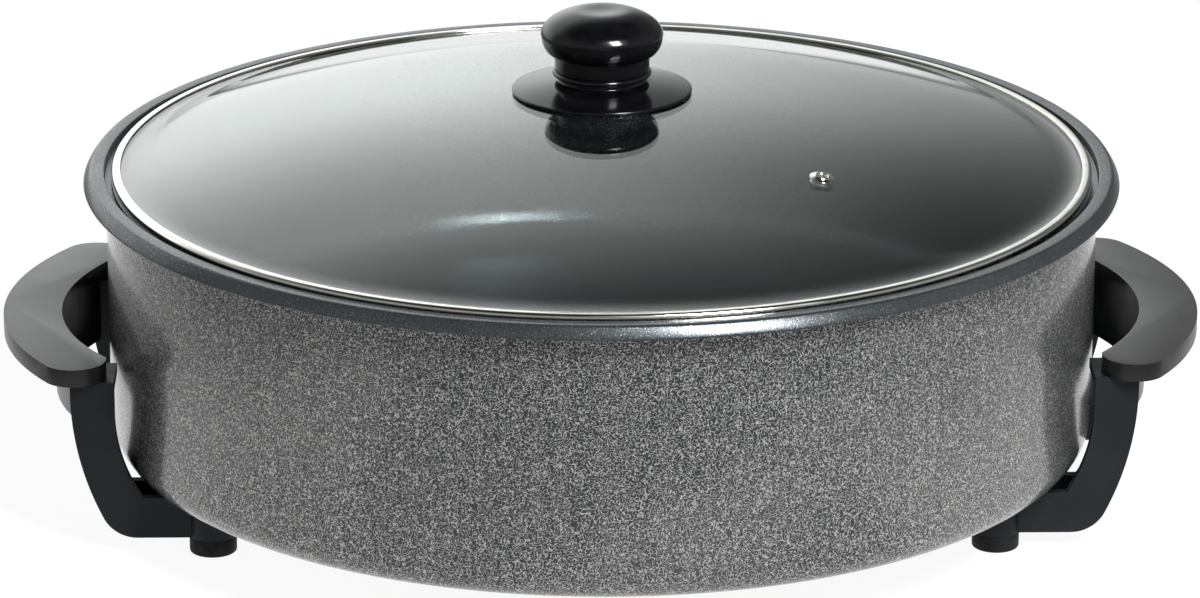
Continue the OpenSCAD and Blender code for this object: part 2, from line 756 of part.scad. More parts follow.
module inlet_housing() {
    half = inlet_w / 2;
    end_y = pin_pitch / 2;
    color("#2a2622") difference() {
        union() {
            translate([block_x, -half, inlet_z])
                cube([mouth_in_x - block_x + step, inlet_w, block_top - inlet_z]);
            translate([mouth_in_x, -half, inlet_z]) cube([mouth_x - mouth_in_x, inlet_w, inlet_h]);
        }
        translate([inlet_wall_x, -half + inlet_t, inlet_z + inlet_t])
            cube([mouth_x - inlet_wall_x + cut, inlet_w - 2 * inlet_t, inlet_h - 2 * inlet_t]);
        for (s = [-1, 1]) {
            x_rod(block_x - cut, inlet_wall_x + cut, s * end_y, element_z,
                insulator_d / 2 + thread_fit);
            translate([inlet_screw_x, s * inlet_screw_y, inlet_z - cut])
                cylinder(r = inlet_screw_d / 2 + fit, h = inlet_h + 2 * cut);
            translate([inlet_screw_x, s * inlet_screw_y, inlet_head_z])
                cylinder(r = inlet_screw_d + fit, h = inlet_h);
        }
        x_rod(block_x - cut, inlet_wall_x + cut, 0, element_z, element_d / 2 + thread_fit);
        translate([block_x - cut, -strip_w / 2 - fit, inlet_z - cut])
            cube([strip_end_x - block_x + cut + fit, strip_w + 2 * fit, strip_t + fit + cut]);
        translate([inlet_wall_x + 2, -strip_w / 2 - fit, inlet_z - cut])
            cube([strip_end_x - inlet_wall_x - 2 + fit, strip_w + 2 * fit, inlet_t + 2 * cut]);
    }
}

module pin_insulators() {
    color("ivory") for (s = [-1, 1]) difference() {
        x_rod(insulator_x, insulator_end, s * pin_pitch / 2, element_z, insulator_d / 2);
        x_rod(insulator_x - cut, insulator_end + cut, s * pin_pitch / 2, element_z,
            pin_neck_r + thread_fit);
    }
}

module inlet_pins() {
    color("#cfd2d4") for (s = [-1, 1]) {
        x_rod(insulator_x, insulator_end + step, s * pin_pitch / 2, element_z, pin_neck_r);
        x_rod(insulator_end, insulator_end + pin_l, s * pin_pitch / 2, element_z, pin_d / 2);
    }
}

module probe_tube() {
    end_t = 2;
    tube_x = insulator_end + 1;
    color("#c2c4c5") difference() {
        x_rod(tube_x - probe_l, tube_x, 0, element_z, element_d / 2);
        x_rod(tube_x - probe_l + end_t, tube_x + cut, 0, element_z, probe_bore_d / 2);
    }
}

module earth_contact() {
    bump_r = 2.2;
    bump_x = (inlet_wall_x + strip_end_x) / 2 + 1;
    color("#c9a24a") difference() {
        union() {
            translate([strip_in_x, -strip_w / 2, inlet_z])
                cube([strip_end_x - strip_in_x, strip_w, strip_t]);
            intersection() {
                translate([bump_x, strip_w / 2, inlet_z + strip_t / 2]) rotate([90, 0, 0])
                    cylinder(r = bump_r, h = strip_w);
                translate([bump_x - bump_r, -strip_w / 2, inlet_z])
                    cube([2 * bump_r, strip_w, 2 * bump_r]);
            }
        }
        translate([earth_screw_x, 0, inlet_z - cut])
            cylinder(r = inlet_screw_d / 2 + fit, h = strip_t + 2 * cut);
    }
}

// A small screw that points down through what it holds into the mounting ring
module down_screw(head_z) {
    head_h = 2;
    tip_gap = 0.2;
    translate([0, 0, head_z]) mirror([0, 0, 1])
        screw(inlet_screw_d, head_z - flange_top - tip_gap, 2 * inlet_screw_d, head_h);
}

module earth_screw() {
    color("#c4c6c8") translate([earth_screw_x, 0, 0]) down_screw(inlet_z + strip_t);
}

module inlet_screws() {
    color("#c4c6c8") for (s = [-1, 1]) translate([inlet_screw_x, s * inlet_screw_y, 0])
        down_screw(inlet_head_z);
}

// ---------- lid ----------

dome_n = 24;
glass_profile = concat(
    [[glass_r, glass_z], [glass_r, glass_top]],
    [for (i = [0:dome_n]) let (r = dome_r + (glass_hole_r - dome_r) * i / dome_n) [r, glass_at(r)]],
    [for (i = [0:dome_n]) let (r = glass_hole_r + (dome_r - glass_t / 4 - glass_hole_r) * i / dome_n)
        [r, under_at(r)]],
    [[dome_r - glass_t / 4, glass_z]]
);

// Stands a piece at the vent, square to the glass; its z = 0 is the outer face of the glass
module at_vent() {
    rotate(vent_angle) translate([0, 0, sphere_z]) rotate([0, vent_tilt, 0])
        translate([0, 0, sphere_r]) children();
}

vent_neck_r = vent_hole_d / 2 + 1;

module lid_glass() {
    color("#b9d3cc", 0.35) lid_place() difference() {
        rotate_extrude() polygon(glass_profile);
        at_vent() translate([0, 0, -glass_t - cut])
            cylinder(r = vent_neck_r + thread_fit, h = glass_t + 2 * cut);
    }
}

module lid_band() {
    in_r = glass_r - band_fold_w;
    color("#d9dcdd") lid_place() rotate_extrude() polygon([
        [in_r, band_z], [band_r, band_z], [band_r, glass_top + band_t],
        [in_r, glass_top + band_t], [in_r, glass_top], [glass_r, glass_top],
        [glass_r, glass_z], [in_r, glass_z],
    ]);
}

module vent_grommet() {
    flange_r = vent_flange_d / 2;
    hole_r = vent_hole_d / 2;
    lift = thread_fit;
    crown_h = lift + 1.4;
    slope_h = lift + 0.8;
    edge_h = lift + 0.4;
    curl_r = flange_r - 0.6;
    curl_h = 0.7;
    neck_h = 0.9;
    color("#dfe1e2") lid_place() at_vent() rotate_extrude() polygon([
        [hole_r, crown_h], [vent_neck_r + edge_h, crown_h], [flange_r - 1, slope_h],
        [flange_r, edge_h], [flange_r, lift], [vent_neck_r, lift],
        [vent_neck_r, -glass_t - lift], [curl_r, -glass_t - lift],
        [curl_r, -glass_t - curl_h], [vent_neck_r, -glass_t - neck_h],
        [hole_r, -glass_t - neck_h],
    ]);
}

module knob_gasket() {
    color("#2a2a2a") lid_place() translate([0, 0, apex_z]) tube(gasket_r, glass_hole_r, gasket_t);
}

module knob_disc() {
    hub_r = gasket_r + 1;
    mid_r = (disc_r + waist_r) / 2;
    inner_z = disc_top - disc_t - 0.6;
    color("#141515") lid_place() rotate_extrude() polygon(concat(
        [[glass_hole_r, disc_seat_z], [hub_r, disc_seat_z], [waist_r, inner_z]],
        [[mid_r, disc_edge_z + disc_rise * 0.45], [disc_r - 0.6, disc_edge_z]],
        oval(disc_r - disc_t / 2, disc_edge_z + disc_t / 2, disc_t / 2, disc_t / 2, -60, 90, 6),
        [[mid_r, disc_edge_z + disc_t + disc_rise * 0.55], [waist_r + 1.5, disc_top - 0.4]],
        [[waist_r, disc_top], [waist_r, collar_z]],
        oval(neck_r + collar_proud - collar_h / 2, collar_z + collar_h / 2,
            collar_h / 2, collar_h / 2, -90, 90, 8),
        [[glass_hole_r, knob_z]]
    ));
}

crown_n = 16;
cap_edge = 0.3;     // step round the cap's widest line
knob_profile = let (
    r = knob_d / 2,
    hollow_r = knob_hollow_d / 2,
    hollow_a = acos(hollow_r / r),
    lip_z = cap_z + knob_crown_h * sin(hollow_a)
) concat(
    [[insert_r + thread_fit, knob_z], [neck_r, knob_z]],
    oval(neck_r, cap_z, r - neck_r - cap_edge, cap_z - under_z, -90, 0, 8),
    [[r, cap_z + cap_edge]],
    oval(0, cap_z, r, knob_crown_h, 5, hollow_a, crown_n),
    [for (i = [1:8]) let (x = hollow_r * (1 - i / 8))
        [x, lip_z - knob_hollow_h * (1 - pow(x / hollow_r, 2))]],
    [[0, knob_z + insert_h], [insert_r + thread_fit, knob_z + insert_h]]
);

module knob() {
    color("#111212") lid_place() rotate_extrude() polygon(knob_profile);
}

module knob_insert() {
    color("#c9a24a") lid_place() translate([0, 0, knob_z])
        tube(insert_r, knob_bolt_d / 2 + thread_fit, insert_h - body_gap);
}

module lid_seal_washer() {
    color("#3b3b3b") lid_place() translate([0, 0, lid_seal_z])
        tube(lid_washer_r, knob_bolt_d / 2 + fit, lid_seal_t);
}

module lid_washer() {
    color("#c4c6c8") lid_place() translate([0, 0, lid_seal_z - lid_washer_t])
        tube(lid_washer_r - 1, knob_bolt_d / 2 + fit, lid_washer_t);
}

module knob_screw() {
    z = lid_seal_z - lid_washer_t;
    color("#c4c6c8") lid_place() translate([0, 0, z])
        screw(knob_bolt_d, knob_z + insert_h - 2 - z, 2.4 * knob_bolt_d, knob_head_h);
}

inner_pan();
outer_shell();
rim_seal();
heat_spreader();
heating_element();
element_clamp();
clamp_studs();
clamp_nuts();
heat_reflector();
mounting_ring();
tie_studs();
tie_nuts();
base_cover();
base_screws();
left_handle();
right_handle();
handle_screws();
left_front_leg();
left_rear_leg();
right_front_leg();
right_rear_leg();
leg_screws();
leg_washers();
leg_nuts();
left_front_foot();
left_rear_foot();
right_front_foot();
right_rear_foot();
inlet_housing();
inlet_pins();
pin_insulators();
probe_tube();
earth_contact();
earth_screw();
inlet_screws();
lid_glass();
lid_band();
vent_grommet();
knob_gasket();
knob_disc();
knob();
knob_insert();
lid_seal_washer();
lid_washer();
knob_screw();
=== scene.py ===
# Looks of the electric skillet: studio, finishes and modelled pieces on the CAD frame.
# Sizes in the drawing functions are millimetres; everything lands in metres.
import json
import math

import bpy
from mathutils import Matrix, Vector

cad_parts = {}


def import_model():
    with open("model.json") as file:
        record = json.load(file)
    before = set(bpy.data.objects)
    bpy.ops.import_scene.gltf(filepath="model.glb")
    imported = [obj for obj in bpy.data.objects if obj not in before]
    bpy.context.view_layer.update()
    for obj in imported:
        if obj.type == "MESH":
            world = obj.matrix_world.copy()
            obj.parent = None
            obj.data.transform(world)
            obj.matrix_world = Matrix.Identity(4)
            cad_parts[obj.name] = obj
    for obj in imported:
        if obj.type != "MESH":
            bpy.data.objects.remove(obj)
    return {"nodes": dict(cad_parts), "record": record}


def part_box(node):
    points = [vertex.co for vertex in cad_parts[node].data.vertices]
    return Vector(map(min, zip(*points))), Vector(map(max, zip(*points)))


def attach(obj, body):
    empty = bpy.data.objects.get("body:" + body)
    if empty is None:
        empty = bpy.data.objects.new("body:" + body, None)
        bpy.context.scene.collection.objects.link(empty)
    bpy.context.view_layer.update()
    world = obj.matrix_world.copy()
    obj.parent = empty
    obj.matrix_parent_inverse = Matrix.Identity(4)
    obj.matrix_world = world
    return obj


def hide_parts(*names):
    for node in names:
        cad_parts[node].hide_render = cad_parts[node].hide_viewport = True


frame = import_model()
bpy.ops.object.select_all(action="DESELECT")
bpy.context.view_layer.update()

MM = 0.001         # one millimetre in metres
ROUND = 256        # steps round the pan, shell and lid
SMALL_ROUND = 96   # steps round the knob, feet and pins


def node_box(name):
    """Lowest and highest corner of a CAD node, in millimetres."""
    low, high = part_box(name)
    return Vector(low) / MM, Vector(high) / MM


# ---------- sizes ----------

pan_low, pan_high = node_box("inner_pan")
shell_low, shell_high = node_box("outer_shell")
glass_low, glass_high = node_box("lid_glass")
band_low, band_high = node_box("lid_band")
disc_low, disc_high = node_box("knob_disc")
knob_low, knob_high = node_box("knob")
grip_low, grip_high = node_box("right_handle")
leg_low, leg_high = node_box("right_front_leg")
foot_low, foot_high = node_box("right_front_foot")
inlet_low, inlet_high = node_box("inlet_housing")
pins_low, pins_high = node_box("inlet_pins")
insulator_low, insulator_high = node_box("pin_insulators")
probe_low, probe_high = node_box("probe_tube")

GAP = 0.3          # kept between pieces that only lie near each other
FIT = 0.05         # kept between a piece and the hole that it stands in
PAST = 2.0         # how far a cutting piece reaches past what it cuts
FLAT_ANGLE = 12    # faces that meet at more than this keep a crisp edge after rounding

# Pan: the rim is the lip's widest line, and the seat is the ledge that carries the lid.
LIP_R = (pan_high.x - pan_low.x) / 2
LIP_W = 8.5
LIP_RISE = 4.6
LIP_DROP = 0.6
RIM_Z = pan_high.z - LIP_RISE
PAN_R = 195.0
PAN_WALL = 2.5
PAN_FLOOR = 3.5
PAN_CORNER = 18.0
SEAT_R = LIP_R - LIP_W
SEAT_Z = RIM_Z + 1.0

# Shell, with a flange that turns in under the base.
SHELL_R = (shell_high.x - shell_low.x) / 2
SHELL_T = 0.8
SHELL_CORNER = 12.0
FLANGE_W = 39.0

# Lid: it stands LID_Y off the pan's middle, in its seat's play.
LID_Y = (band_low.y + band_high.y) / 2
BAND_R = (band_high.x - band_low.x) / 2
BAND_T = 0.6
GLASS_T = 4.0
GLASS_R = BAND_R - BAND_T
GLASS_TOP = glass_low.z + GLASS_T        # upper face of the flat edge
DOME_R = GLASS_R - 8.0
DOME_H = glass_high.z - glass_low.z - GLASS_T
DOME_SPHERE = (DOME_R ** 2 + DOME_H ** 2) / (2 * DOME_H)
LID_HOLE_R = 3.0                         # middle hole of the glass and the disc
VENT_R = 120.0
VENT_ANGLE = -45.5
VENT_NECK_R = 2.75
TURN = -1.0        # the turn operator counts clockwise angles

# Grips: a plate with a round finger cut, and a guard that hangs round the cut.
GRIP_T = 7.2
GRIP_OUT_R = 140.0
GRIP_IN_R = 112.0
GRIP_IN_X = SHELL_R + 19.3 - GRIP_IN_R
GRIP_END_R = 12.5
GUARD_T = 3.0
GUARD_HALF_L = 51.7

FOOT_R = (foot_high.x - foot_low.x) / 2
FOOT_PLACE = Vector(((foot_low.x + foot_high.x) / 2, (foot_low.y + foot_high.y) / 2, 0))

# Inlet: two pins in sleeves and the probe's tube, on one level, pointing right.
INLET_AXIS_Z = (pins_low.z + pins_high.z) / 2
PIN_R = (pins_high.z - pins_low.z) / 2
PIN_Y = pins_high.y - PIN_R
INSULATOR_R = (insulator_high.z - insulator_low.z) / 2
PROBE_R = (probe_high.z - probe_low.z) / 2


# ---------- modelling ----------

def oval_arc(cx, cy, rx, ry, start, end, steps):
    """Points of an elliptical arc about (cx, cy); angles in degrees."""
    angles = [math.radians(start + (end - start) * i / steps) for i in range(steps + 1)]
    return [(cx + rx * math.cos(a), cy + ry * math.sin(a)) for a in angles]


def arc(cx, cy, radius, start, end, steps):
    """Points of a round arc about (cx, cy)."""
    return oval_arc(cx, cy, radius, radius, start, end, steps)


def blend_arc(point, radius, start, end, steps):
    """A round that goes on from a point whose outward side looks towards the start angle."""
    cx = point[0] - radius * math.cos(math.radians(start))
    cy = point[1] - radius * math.sin(math.radians(start))
    return arc(cx, cy, radius, start, end, steps)[1:]


def start_line(name):
    """A new piece that is a single vertex, left in edit mode."""
    bpy.ops.object.select_all(action="DESELECT")
    bpy.ops.mesh.primitive_plane_add(size=1.0)
    piece = bpy.context.object
    piece.name = name
    piece.data.name = name
    bpy.ops.object.mode_set(mode="EDIT")
    bpy.ops.mesh.select_all(action="SELECT")
    bpy.ops.mesh.merge(type="CENTER")
    return piece


def draw(corners, closed):
    """Draws through the corners by extruding a vertex from each to the next; closed fills it."""
    place = Vector((0, 0, 0))
    for i, corner in enumerate(corners):
        corner = Vector(corner) * MM
        move = corner - place
        if i == 0:
            bpy.ops.transform.translate(value=move)
        else:
            bpy.ops.mesh.extrude_region_move(TRANSFORM_OT_translate={"value": move})
        place = corner
    bpy.ops.mesh.select_all(action="SELECT")
    if closed:
        bpy.ops.mesh.edge_face_add()


def smooth(angle=32):
    """Leaves edit mode and shades the selected piece smooth, but for edges sharper than the angle."""
    bpy.ops.object.mode_set(mode="OBJECT")
    bpy.ops.object.shade_smooth_by_angle(angle=math.radians(angle))


def lathe(name, profile, closed=True, steps=ROUND, y=0.0, z=0.0, lying=False):
    """Turns a profile of (radius, height) points about the upright axis, or about a lying one."""
    piece = start_line(name)
    if lying:
        draw([(height, 0, r) for r, height in profile], closed)
    else:
        draw([(r, 0, height) for r, height in profile], closed)
    if closed:
        bpy.ops.mesh.delete(type="ONLY_FACE")
        bpy.ops.mesh.select_all(action="SELECT")
    axis = (1, 0, 0) if lying else (0, 0, 1)
    bpy.ops.mesh.spin(steps=steps, angle=2 * math.pi, center=(0, 0, 0), axis=axis)
    bpy.ops.mesh.select_all(action="SELECT")
    bpy.ops.mesh.remove_doubles(threshold=1e-6)
    bpy.ops.mesh.normals_make_consistent(inside=False)
    bpy.ops.transform.translate(value=(0, y * MM, z * MM))
    smooth()
    return piece


def plan(left, right, front, back, z):
    """Corners of a level rectangle."""
    return [(left, front, z), (right, front, z), (right, back, z), (left, back, z)]


def extrude(name, outline, move):
    """Fills a closed outline of 3-D corners and pushes it along move."""
    piece = start_line(name)
    draw(outline, True)
    bpy.ops.mesh.extrude_region_move(TRANSFORM_OT_translate={"value": Vector(move) * MM})
    bpy.ops.mesh.select_all(action="SELECT")
    bpy.ops.mesh.normals_make_consistent(inside=False)
    bpy.ops.object.mode_set(mode="OBJECT")
    return piece


def activate(piece):
    """Makes the piece the only one that the next operator works on."""
    bpy.ops.object.select_all(action="DESELECT")
    piece.select_set(True)
    bpy.context.view_layer.objects.active = piece


def shift(move):
    """Moves the active piece's mesh by metres; the piece itself stays at the origin."""
    bpy.ops.object.mode_set(mode="EDIT")
    bpy.ops.mesh.select_all(action="SELECT")
    bpy.ops.transform.translate(value=move)
    bpy.ops.object.mode_set(mode="OBJECT")


def combine(piece, other, operation):
    """Adds other to the piece or cuts it out, and uses it up."""
    activate(piece)
    bpy.ops.object.modifier_add(type="BOOLEAN")
    change = piece.modifiers[-1]
    change.operation = operation
    change.solver = "EXACT"
    change.object = other
    bpy.ops.object.modifier_apply(modifier=change.name)
    activate(other)
    bpy.ops.object.delete()
    activate(piece)


def round_edges(piece, width, segments):
    """Rounds every edge sharper than 35 degrees."""
    activate(piece)
    bpy.ops.object.modifier_add(type="BEVEL")
    change = piece.modifiers[-1]
    change.width = width * MM
    change.segments = segments
    change.limit_method = "ANGLE"
    change.angle_limit = math.radians(35)
    change.use_clamp_overlap = True
    change.miter_outer = "MITER_ARC"
    bpy.ops.object.modifier_apply(modifier=change.name)
    smooth(FLAT_ANGLE)


def mirrored(piece, name, x=1, y=1):
    """A copy with its own mesh, mirrored through the middle of the pan."""
    activate(piece)
    bpy.ops.object.duplicate()
    copy = bpy.context.object
    copy.name = name
    copy.data.name = name
    bpy.ops.object.mode_set(mode="EDIT")
    bpy.ops.mesh.select_all(action="SELECT")
    bpy.ops.transform.resize(value=(x, y, 1), center_override=(0, 0, 0))
    bpy.ops.mesh.normals_make_consistent(inside=False)
    bpy.ops.object.mode_set(mode="OBJECT")
    return copy


def settle(piece, body, slot, node, finish=None):
    """Gives a piece its body, its slot and the node it stands for; a finish overrides the slot's."""
    piece.data.materials.clear()
    piece.data.materials.append(finish or FINISHES[slot])
    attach(piece, body)
    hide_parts(node)


# ---------- shader nodes ----------

def map_range(nodes, links, value, low, high, start, end):
    """Maps low..high of a value to start..end with soft ends, clamped."""
    node = nodes.new("ShaderNodeMapRange")
    node.interpolation_type = "SMOOTHSTEP"
    for socket, number in zip(node.inputs[1:5], (low, high, start, end)):
        socket.default_value = number
    links.new(value, node.inputs["Value"])
    return node.outputs["Result"]


def reckon(nodes, links, operation, *values):
    """A Math node on sockets or plain numbers."""
    node = nodes.new("ShaderNodeMath")
    node.operation = operation
    for socket, value in zip(node.inputs, values):
        if isinstance(value, (int, float)):
            socket.default_value = value
        else:
            links.new(value, socket)
    return node.outputs[0]


def mix_shaders(nodes, links, share, first, second):
    """The first shader where share is 0, the second where it is 1."""
    node = nodes.new("ShaderNodeMixShader")
    for socket, value in zip(node.inputs, (share, first, second)):
        links.new(value, socket)
    return node.outputs[0]


# ---------- finishes ----------

class Finish:
    """A material with its Principled shader and short ways to add pattern nodes."""

    def __init__(self, name, **settings):
        self.material = bpy.data.materials.new(name)
        self.material.use_nodes = True
        self.nodes = self.material.node_tree.nodes
        self.links = self.material.node_tree.links
        self.shader = self.nodes["Principled BSDF"]
        self.place = self.nodes.new("ShaderNodeTexCoord").outputs["Object"]
        for socket, value in settings.items():
            self.shader.inputs[socket.replace("_", " ")].default_value = value

    def join(self, out, into):
        self.links.new(out, into)

    def noise(self, scale, detail=2.0, roughness=0.5, distortion=0.0, place=None):
        """Noise in object coordinates; scale counts waves per metre."""
        node = self.nodes.new("ShaderNodeTexNoise")
        node.inputs["Scale"].default_value = scale
        node.inputs["Detail"].default_value = detail
        node.inputs["Roughness"].default_value = roughness
        node.inputs["Distortion"].default_value = distortion
        self.join(place or self.place, node.inputs["Vector"])
        return node.outputs["Fac"]

    def stretch(self, x, y, z):
        """Object coordinates scaled along each axis, for drawn or brushed grain."""
        node = self.nodes.new("ShaderNodeMapping")
        node.inputs["Scale"].default_value = (x, y, z)
        self.join(self.place, node.inputs["Vector"])
        return node.outputs["Vector"]

    def ramp(self, value, low, high, start=0.0, end=1.0):
        """Maps low..high of the pattern to start..end, clamped."""
        return map_range(self.nodes, self.links, value, low, high, start, end)

    def add(self, a, b):
        return reckon(self.nodes, self.links, "ADD", a, b)

    def off_middle(self, value):
        """How far a pattern lies from its middle value, which draws thin lines through it."""
        centred = reckon(self.nodes, self.links, "SUBTRACT", value, 0.5)
        return reckon(self.nodes, self.links, "ABSOLUTE", centred)

    def colour(self, value, dark, light):
        """Base colour from dark to light as the value goes from 0 to 1."""
        node = self.nodes.new("ShaderNodeMix")
        node.data_type = "RGBA"
        node.inputs["A"].default_value = (*dark, 1)
        node.inputs["B"].default_value = (*light, 1)
        self.join(value, node.inputs["Factor"])
        self.join(node.outputs["Result"], self.shader.inputs["Base Color"])

    def drive(self, socket, value):
        """Lets the pattern set one of the shader's own inputs."""
        self.join(value, self.shader.inputs[socket])

    def bump(self, height, depth, strength):
        """Relief of the given depth in millimetres."""
        node = self.nodes.new("ShaderNodeBump")
        node.inputs["Strength"].default_value = strength
        node.inputs["Distance"].default_value = depth * MM
        self.join(height, node.inputs["Height"])
        self.join(node.outputs["Normal"], self.shader.inputs["Normal"])


def hammered_enamel():
    """Charcoal hammer paint: thin pale worm-shaped ridges over dark valleys."""
    finish = Finish("hammered_enamel", Coat_Weight=1.0, Coat_Roughness=0.15)
    flakes = finish.noise(900, 1.0, 0.4, 0.2)
    worms = finish.ramp(finish.off_middle(flakes), 0.014, 0.055, 1.0, 0.0)
    patches = finish.ramp(finish.noise(9, 2), 0.3, 0.7, -0.05, 0.05)
    tone = finish.add(worms, patches)
    finish.colour(tone, (0.006, 0.009, 0.013), (0.50, 0.49, 0.47))
    finish.drive("Metallic", finish.ramp(worms, 0, 1, 0.25, 0.8))
    finish.drive("Roughness", finish.ramp(worms, 0, 1, 0.42, 0.3))
    finish.bump(worms, 0.05, 0.6)
    return finish.material


def non_stick():
    """Dark metallic non-stick coating with fine sparkle."""
    finish = Finish("non_stick_coating", IOR=1.36)
    grain = finish.ramp(finish.noise(1500, 2), 0.3, 0.7, 0.0, 0.09)
    sparkle = finish.ramp(finish.noise(1900, 1), 0.64, 0.76)
    cloud = finish.ramp(finish.noise(35, 3), 0.3, 0.7, 0.0, 0.03)
    tone = finish.add(finish.add(grain, cloud), sparkle)
    finish.colour(tone, (0.035, 0.041, 0.045), (0.36, 0.39, 0.41))
    finish.drive("Metallic", finish.ramp(sparkle, 0, 1, 0.72, 0.95))
    finish.drive("Roughness", finish.ramp(finish.noise(60, 3), 0.3, 0.7, 0.24, 0.27))
    finish.bump(finish.noise(1300, 2), 0.04, 0.8)
    return finish.material


def clear_glass():
    """Clear tempered glass with a faint green body."""
    finish = Finish("tempered_glass", Transmission_Weight=1.0, IOR=1.5,
                    Base_Color=(0.90, 0.965, 0.94, 1))
    finish.drive("Roughness", finish.ramp(finish.noise(18, 2), 0.55, 0.8, 0.0, 0.004))
    return finish.material


def polished_steel():
    """Bright steel of the rim band and the vent, wiped round."""
    finish = Finish("polished_steel", Metallic=1.0)
    wipe = finish.noise(90, 3, place=finish.stretch(1, 1, 14))
    finish.colour(finish.ramp(wipe, 0.35, 0.65), (0.64, 0.63, 0.58), (0.74, 0.73, 0.68))
    finish.drive("Roughness", finish.ramp(wipe, 0.3, 0.7, 0.07, 0.12))
    finish.bump(finish.noise(300, 2), 0.002, 0.3)
    return finish.material


def zinc_steel():
    """Dull plated screws, nuts, studs and brackets."""
    finish = Finish("zinc_plated_steel", Metallic=1.0)
    tarnish = finish.noise(160, 4)
    finish.colour(finish.ramp(tarnish, 0.35, 0.7), (0.36, 0.37, 0.39), (0.62, 0.63, 0.64))
    finish.drive("Roughness", finish.ramp(tarnish, 0.3, 0.7, 0.28, 0.46))
    finish.bump(finish.noise(1400, 2), 0.01, 0.4)
    return finish.material


def rolled_aluminium():
    """Sheet with the mill's grain along it."""
    finish = Finish("rolled_aluminium", Metallic=1.0)
    grain = finish.noise(120, 4, place=finish.stretch(1, 14, 1))
    finish.colour(finish.ramp(grain, 0.3, 0.7), (0.50, 0.51, 0.52), (0.70, 0.70, 0.71))
    finish.drive("Roughness", finish.ramp(grain, 0.3, 0.7, 0.3, 0.48))
    finish.bump(grain, 0.01, 0.4)
    return finish.material


def heated_sheath():
    """Element sheath, browned where it gets hot."""
    finish = Finish("heated_sheath", Metallic=1.0)
    heat = finish.noise(28, 3)
    finish.colour(finish.ramp(heat, 0.3, 0.7), (0.10, 0.085, 0.075), (0.30, 0.27, 0.24))
    finish.drive("Roughness", finish.ramp(heat, 0.3, 0.7, 0.38, 0.55))
    finish.bump(finish.noise(1100, 3), 0.015, 0.5)
    return finish.material


def glossy_phenolic():
    """High-gloss black of the knob and its guard disc."""
    finish = Finish("glossy_phenolic", IOR=1.42)
    wave = finish.noise(130, 2)
    finish.colour(finish.ramp(wave, 0.3, 0.7), (0.0015, 0.0015, 0.002), (0.003, 0.003, 0.0035))
    finish.drive("Roughness", finish.ramp(finish.noise(48, 4), 0.35, 0.75, 0.12, 0.19))
    finish.bump(wave, 0.02, 0.2)
    return finish.material


def moulded_phenolic(name, dark, light, smoothest, roughest, index=1.42):
    """Matte moulded black with a fine spark-eroded grain."""
    finish = Finish(name, IOR=index)
    grain = finish.noise(1900, 2)
    finish.colour(finish.ramp(finish.noise(40, 4), 0.3, 0.7), dark, light)
    finish.drive("Roughness", finish.ramp(finish.noise(70, 3), 0.3, 0.7, smoothest, roughest))
    finish.bump(grain, 0.03, 0.55)
    return finish.material


def rubber():
    """Black rubber of the feet and seals."""
    finish = Finish("black_rubber", IOR=1.35)
    bloom = finish.ramp(finish.noise(220, 4), 0.3, 0.7)
    finish.colour(bloom, (0.003, 0.003, 0.0035), (0.007, 0.007, 0.008))
    finish.drive("Roughness", finish.ramp(finish.noise(300, 2), 0.3, 0.7, 0.6, 0.75))
    finish.bump(finish.noise(1500, 2), 0.03, 0.5)
    return finish.material


def black_sheet():
    """Heat-proof matte paint on the base cover."""
    finish = Finish("heat_proof_paint")
    cloud = finish.ramp(finish.noise(26, 5), 0.3, 0.7)
    finish.colour(cloud, (0.018, 0.018, 0.019), (0.036, 0.036, 0.038))
    finish.drive("Roughness", finish.ramp(finish.noise(150, 3), 0.3, 0.7, 0.5, 0.66))
    finish.bump(finish.noise(1200, 3), 0.03, 0.5)
    return finish.material


def brass():
    """Plain brass, a little tarnished."""
    finish = Finish("plain_brass", Metallic=1.0)
    tarnish = finish.noise(210, 4)
    finish.colour(finish.ramp(tarnish, 0.3, 0.7), (0.42, 0.28, 0.10), (0.70, 0.52, 0.24))
    finish.drive("Roughness", finish.ramp(tarnish, 0.3, 0.7, 0.24, 0.42))
    finish.bump(finish.noise(1300, 2), 0.01, 0.4)
    return finish.material


def ceramic():
    """Cream unglazed ceramic of the pin sleeves."""
    finish = Finish("unglazed_ceramic")
    finish.colour(finish.ramp(finish.noise(400, 4), 0.3, 0.7), (0.66, 0.62, 0.54), (0.78, 0.75, 0.68))
    finish.drive("Roughness", finish.ramp(finish.noise(500, 2), 0.3, 0.7, 0.5, 0.7))
    finish.bump(finish.noise(1800, 3), 0.03, 0.5)
    return finish.material


FINISHES = {
    "non_stick_pan": non_stick(),
    "hammered_shell": hammered_enamel(),
    "seal_rubber": rubber(),
    "heater_aluminium": rolled_aluminium(),
    "element_sheath": heated_sheath(),
    "zinc_steel": zinc_steel(),
    "reflector_sheet": rolled_aluminium(),
    "base_sheet": black_sheet(),
    "grip_plastic": moulded_phenolic("grip_phenolic", (0.0045, 0.0046, 0.0044),
                                     (0.0075, 0.0077, 0.0074), 0.29, 0.32),
    "leg_plastic": moulded_phenolic("leg_phenolic", (0.003, 0.0045, 0.006),
                                    (0.0055, 0.0075, 0.0095), 0.48, 0.54, 1.34),
    "foot_rubber": rubber(),
    "inlet_plastic": moulded_phenolic("inlet_phenolic", (0.011, 0.010, 0.010),
                                      (0.019, 0.018, 0.017), 0.4, 0.55),
    "white_ceramic": ceramic(),
    "brass_parts": brass(),
    "lid_glass": clear_glass(),
    "polished_steel": polished_steel(),
    "knob_plastic": glossy_phenolic(),
}

# Every CAD node takes its slot's finish; only those that nothing replaces stay in view.
for part in frame["record"]["subparts"]:
    node = frame["nodes"][part["node"]]
    if not node.material_slots:
        node.data.materials.append(FINISHES[part["material_slot"]])
    for holder in node.material_slots:
        holder.material = FINISHES[part["material_slot"]]


# ---------- camera and studio ----------

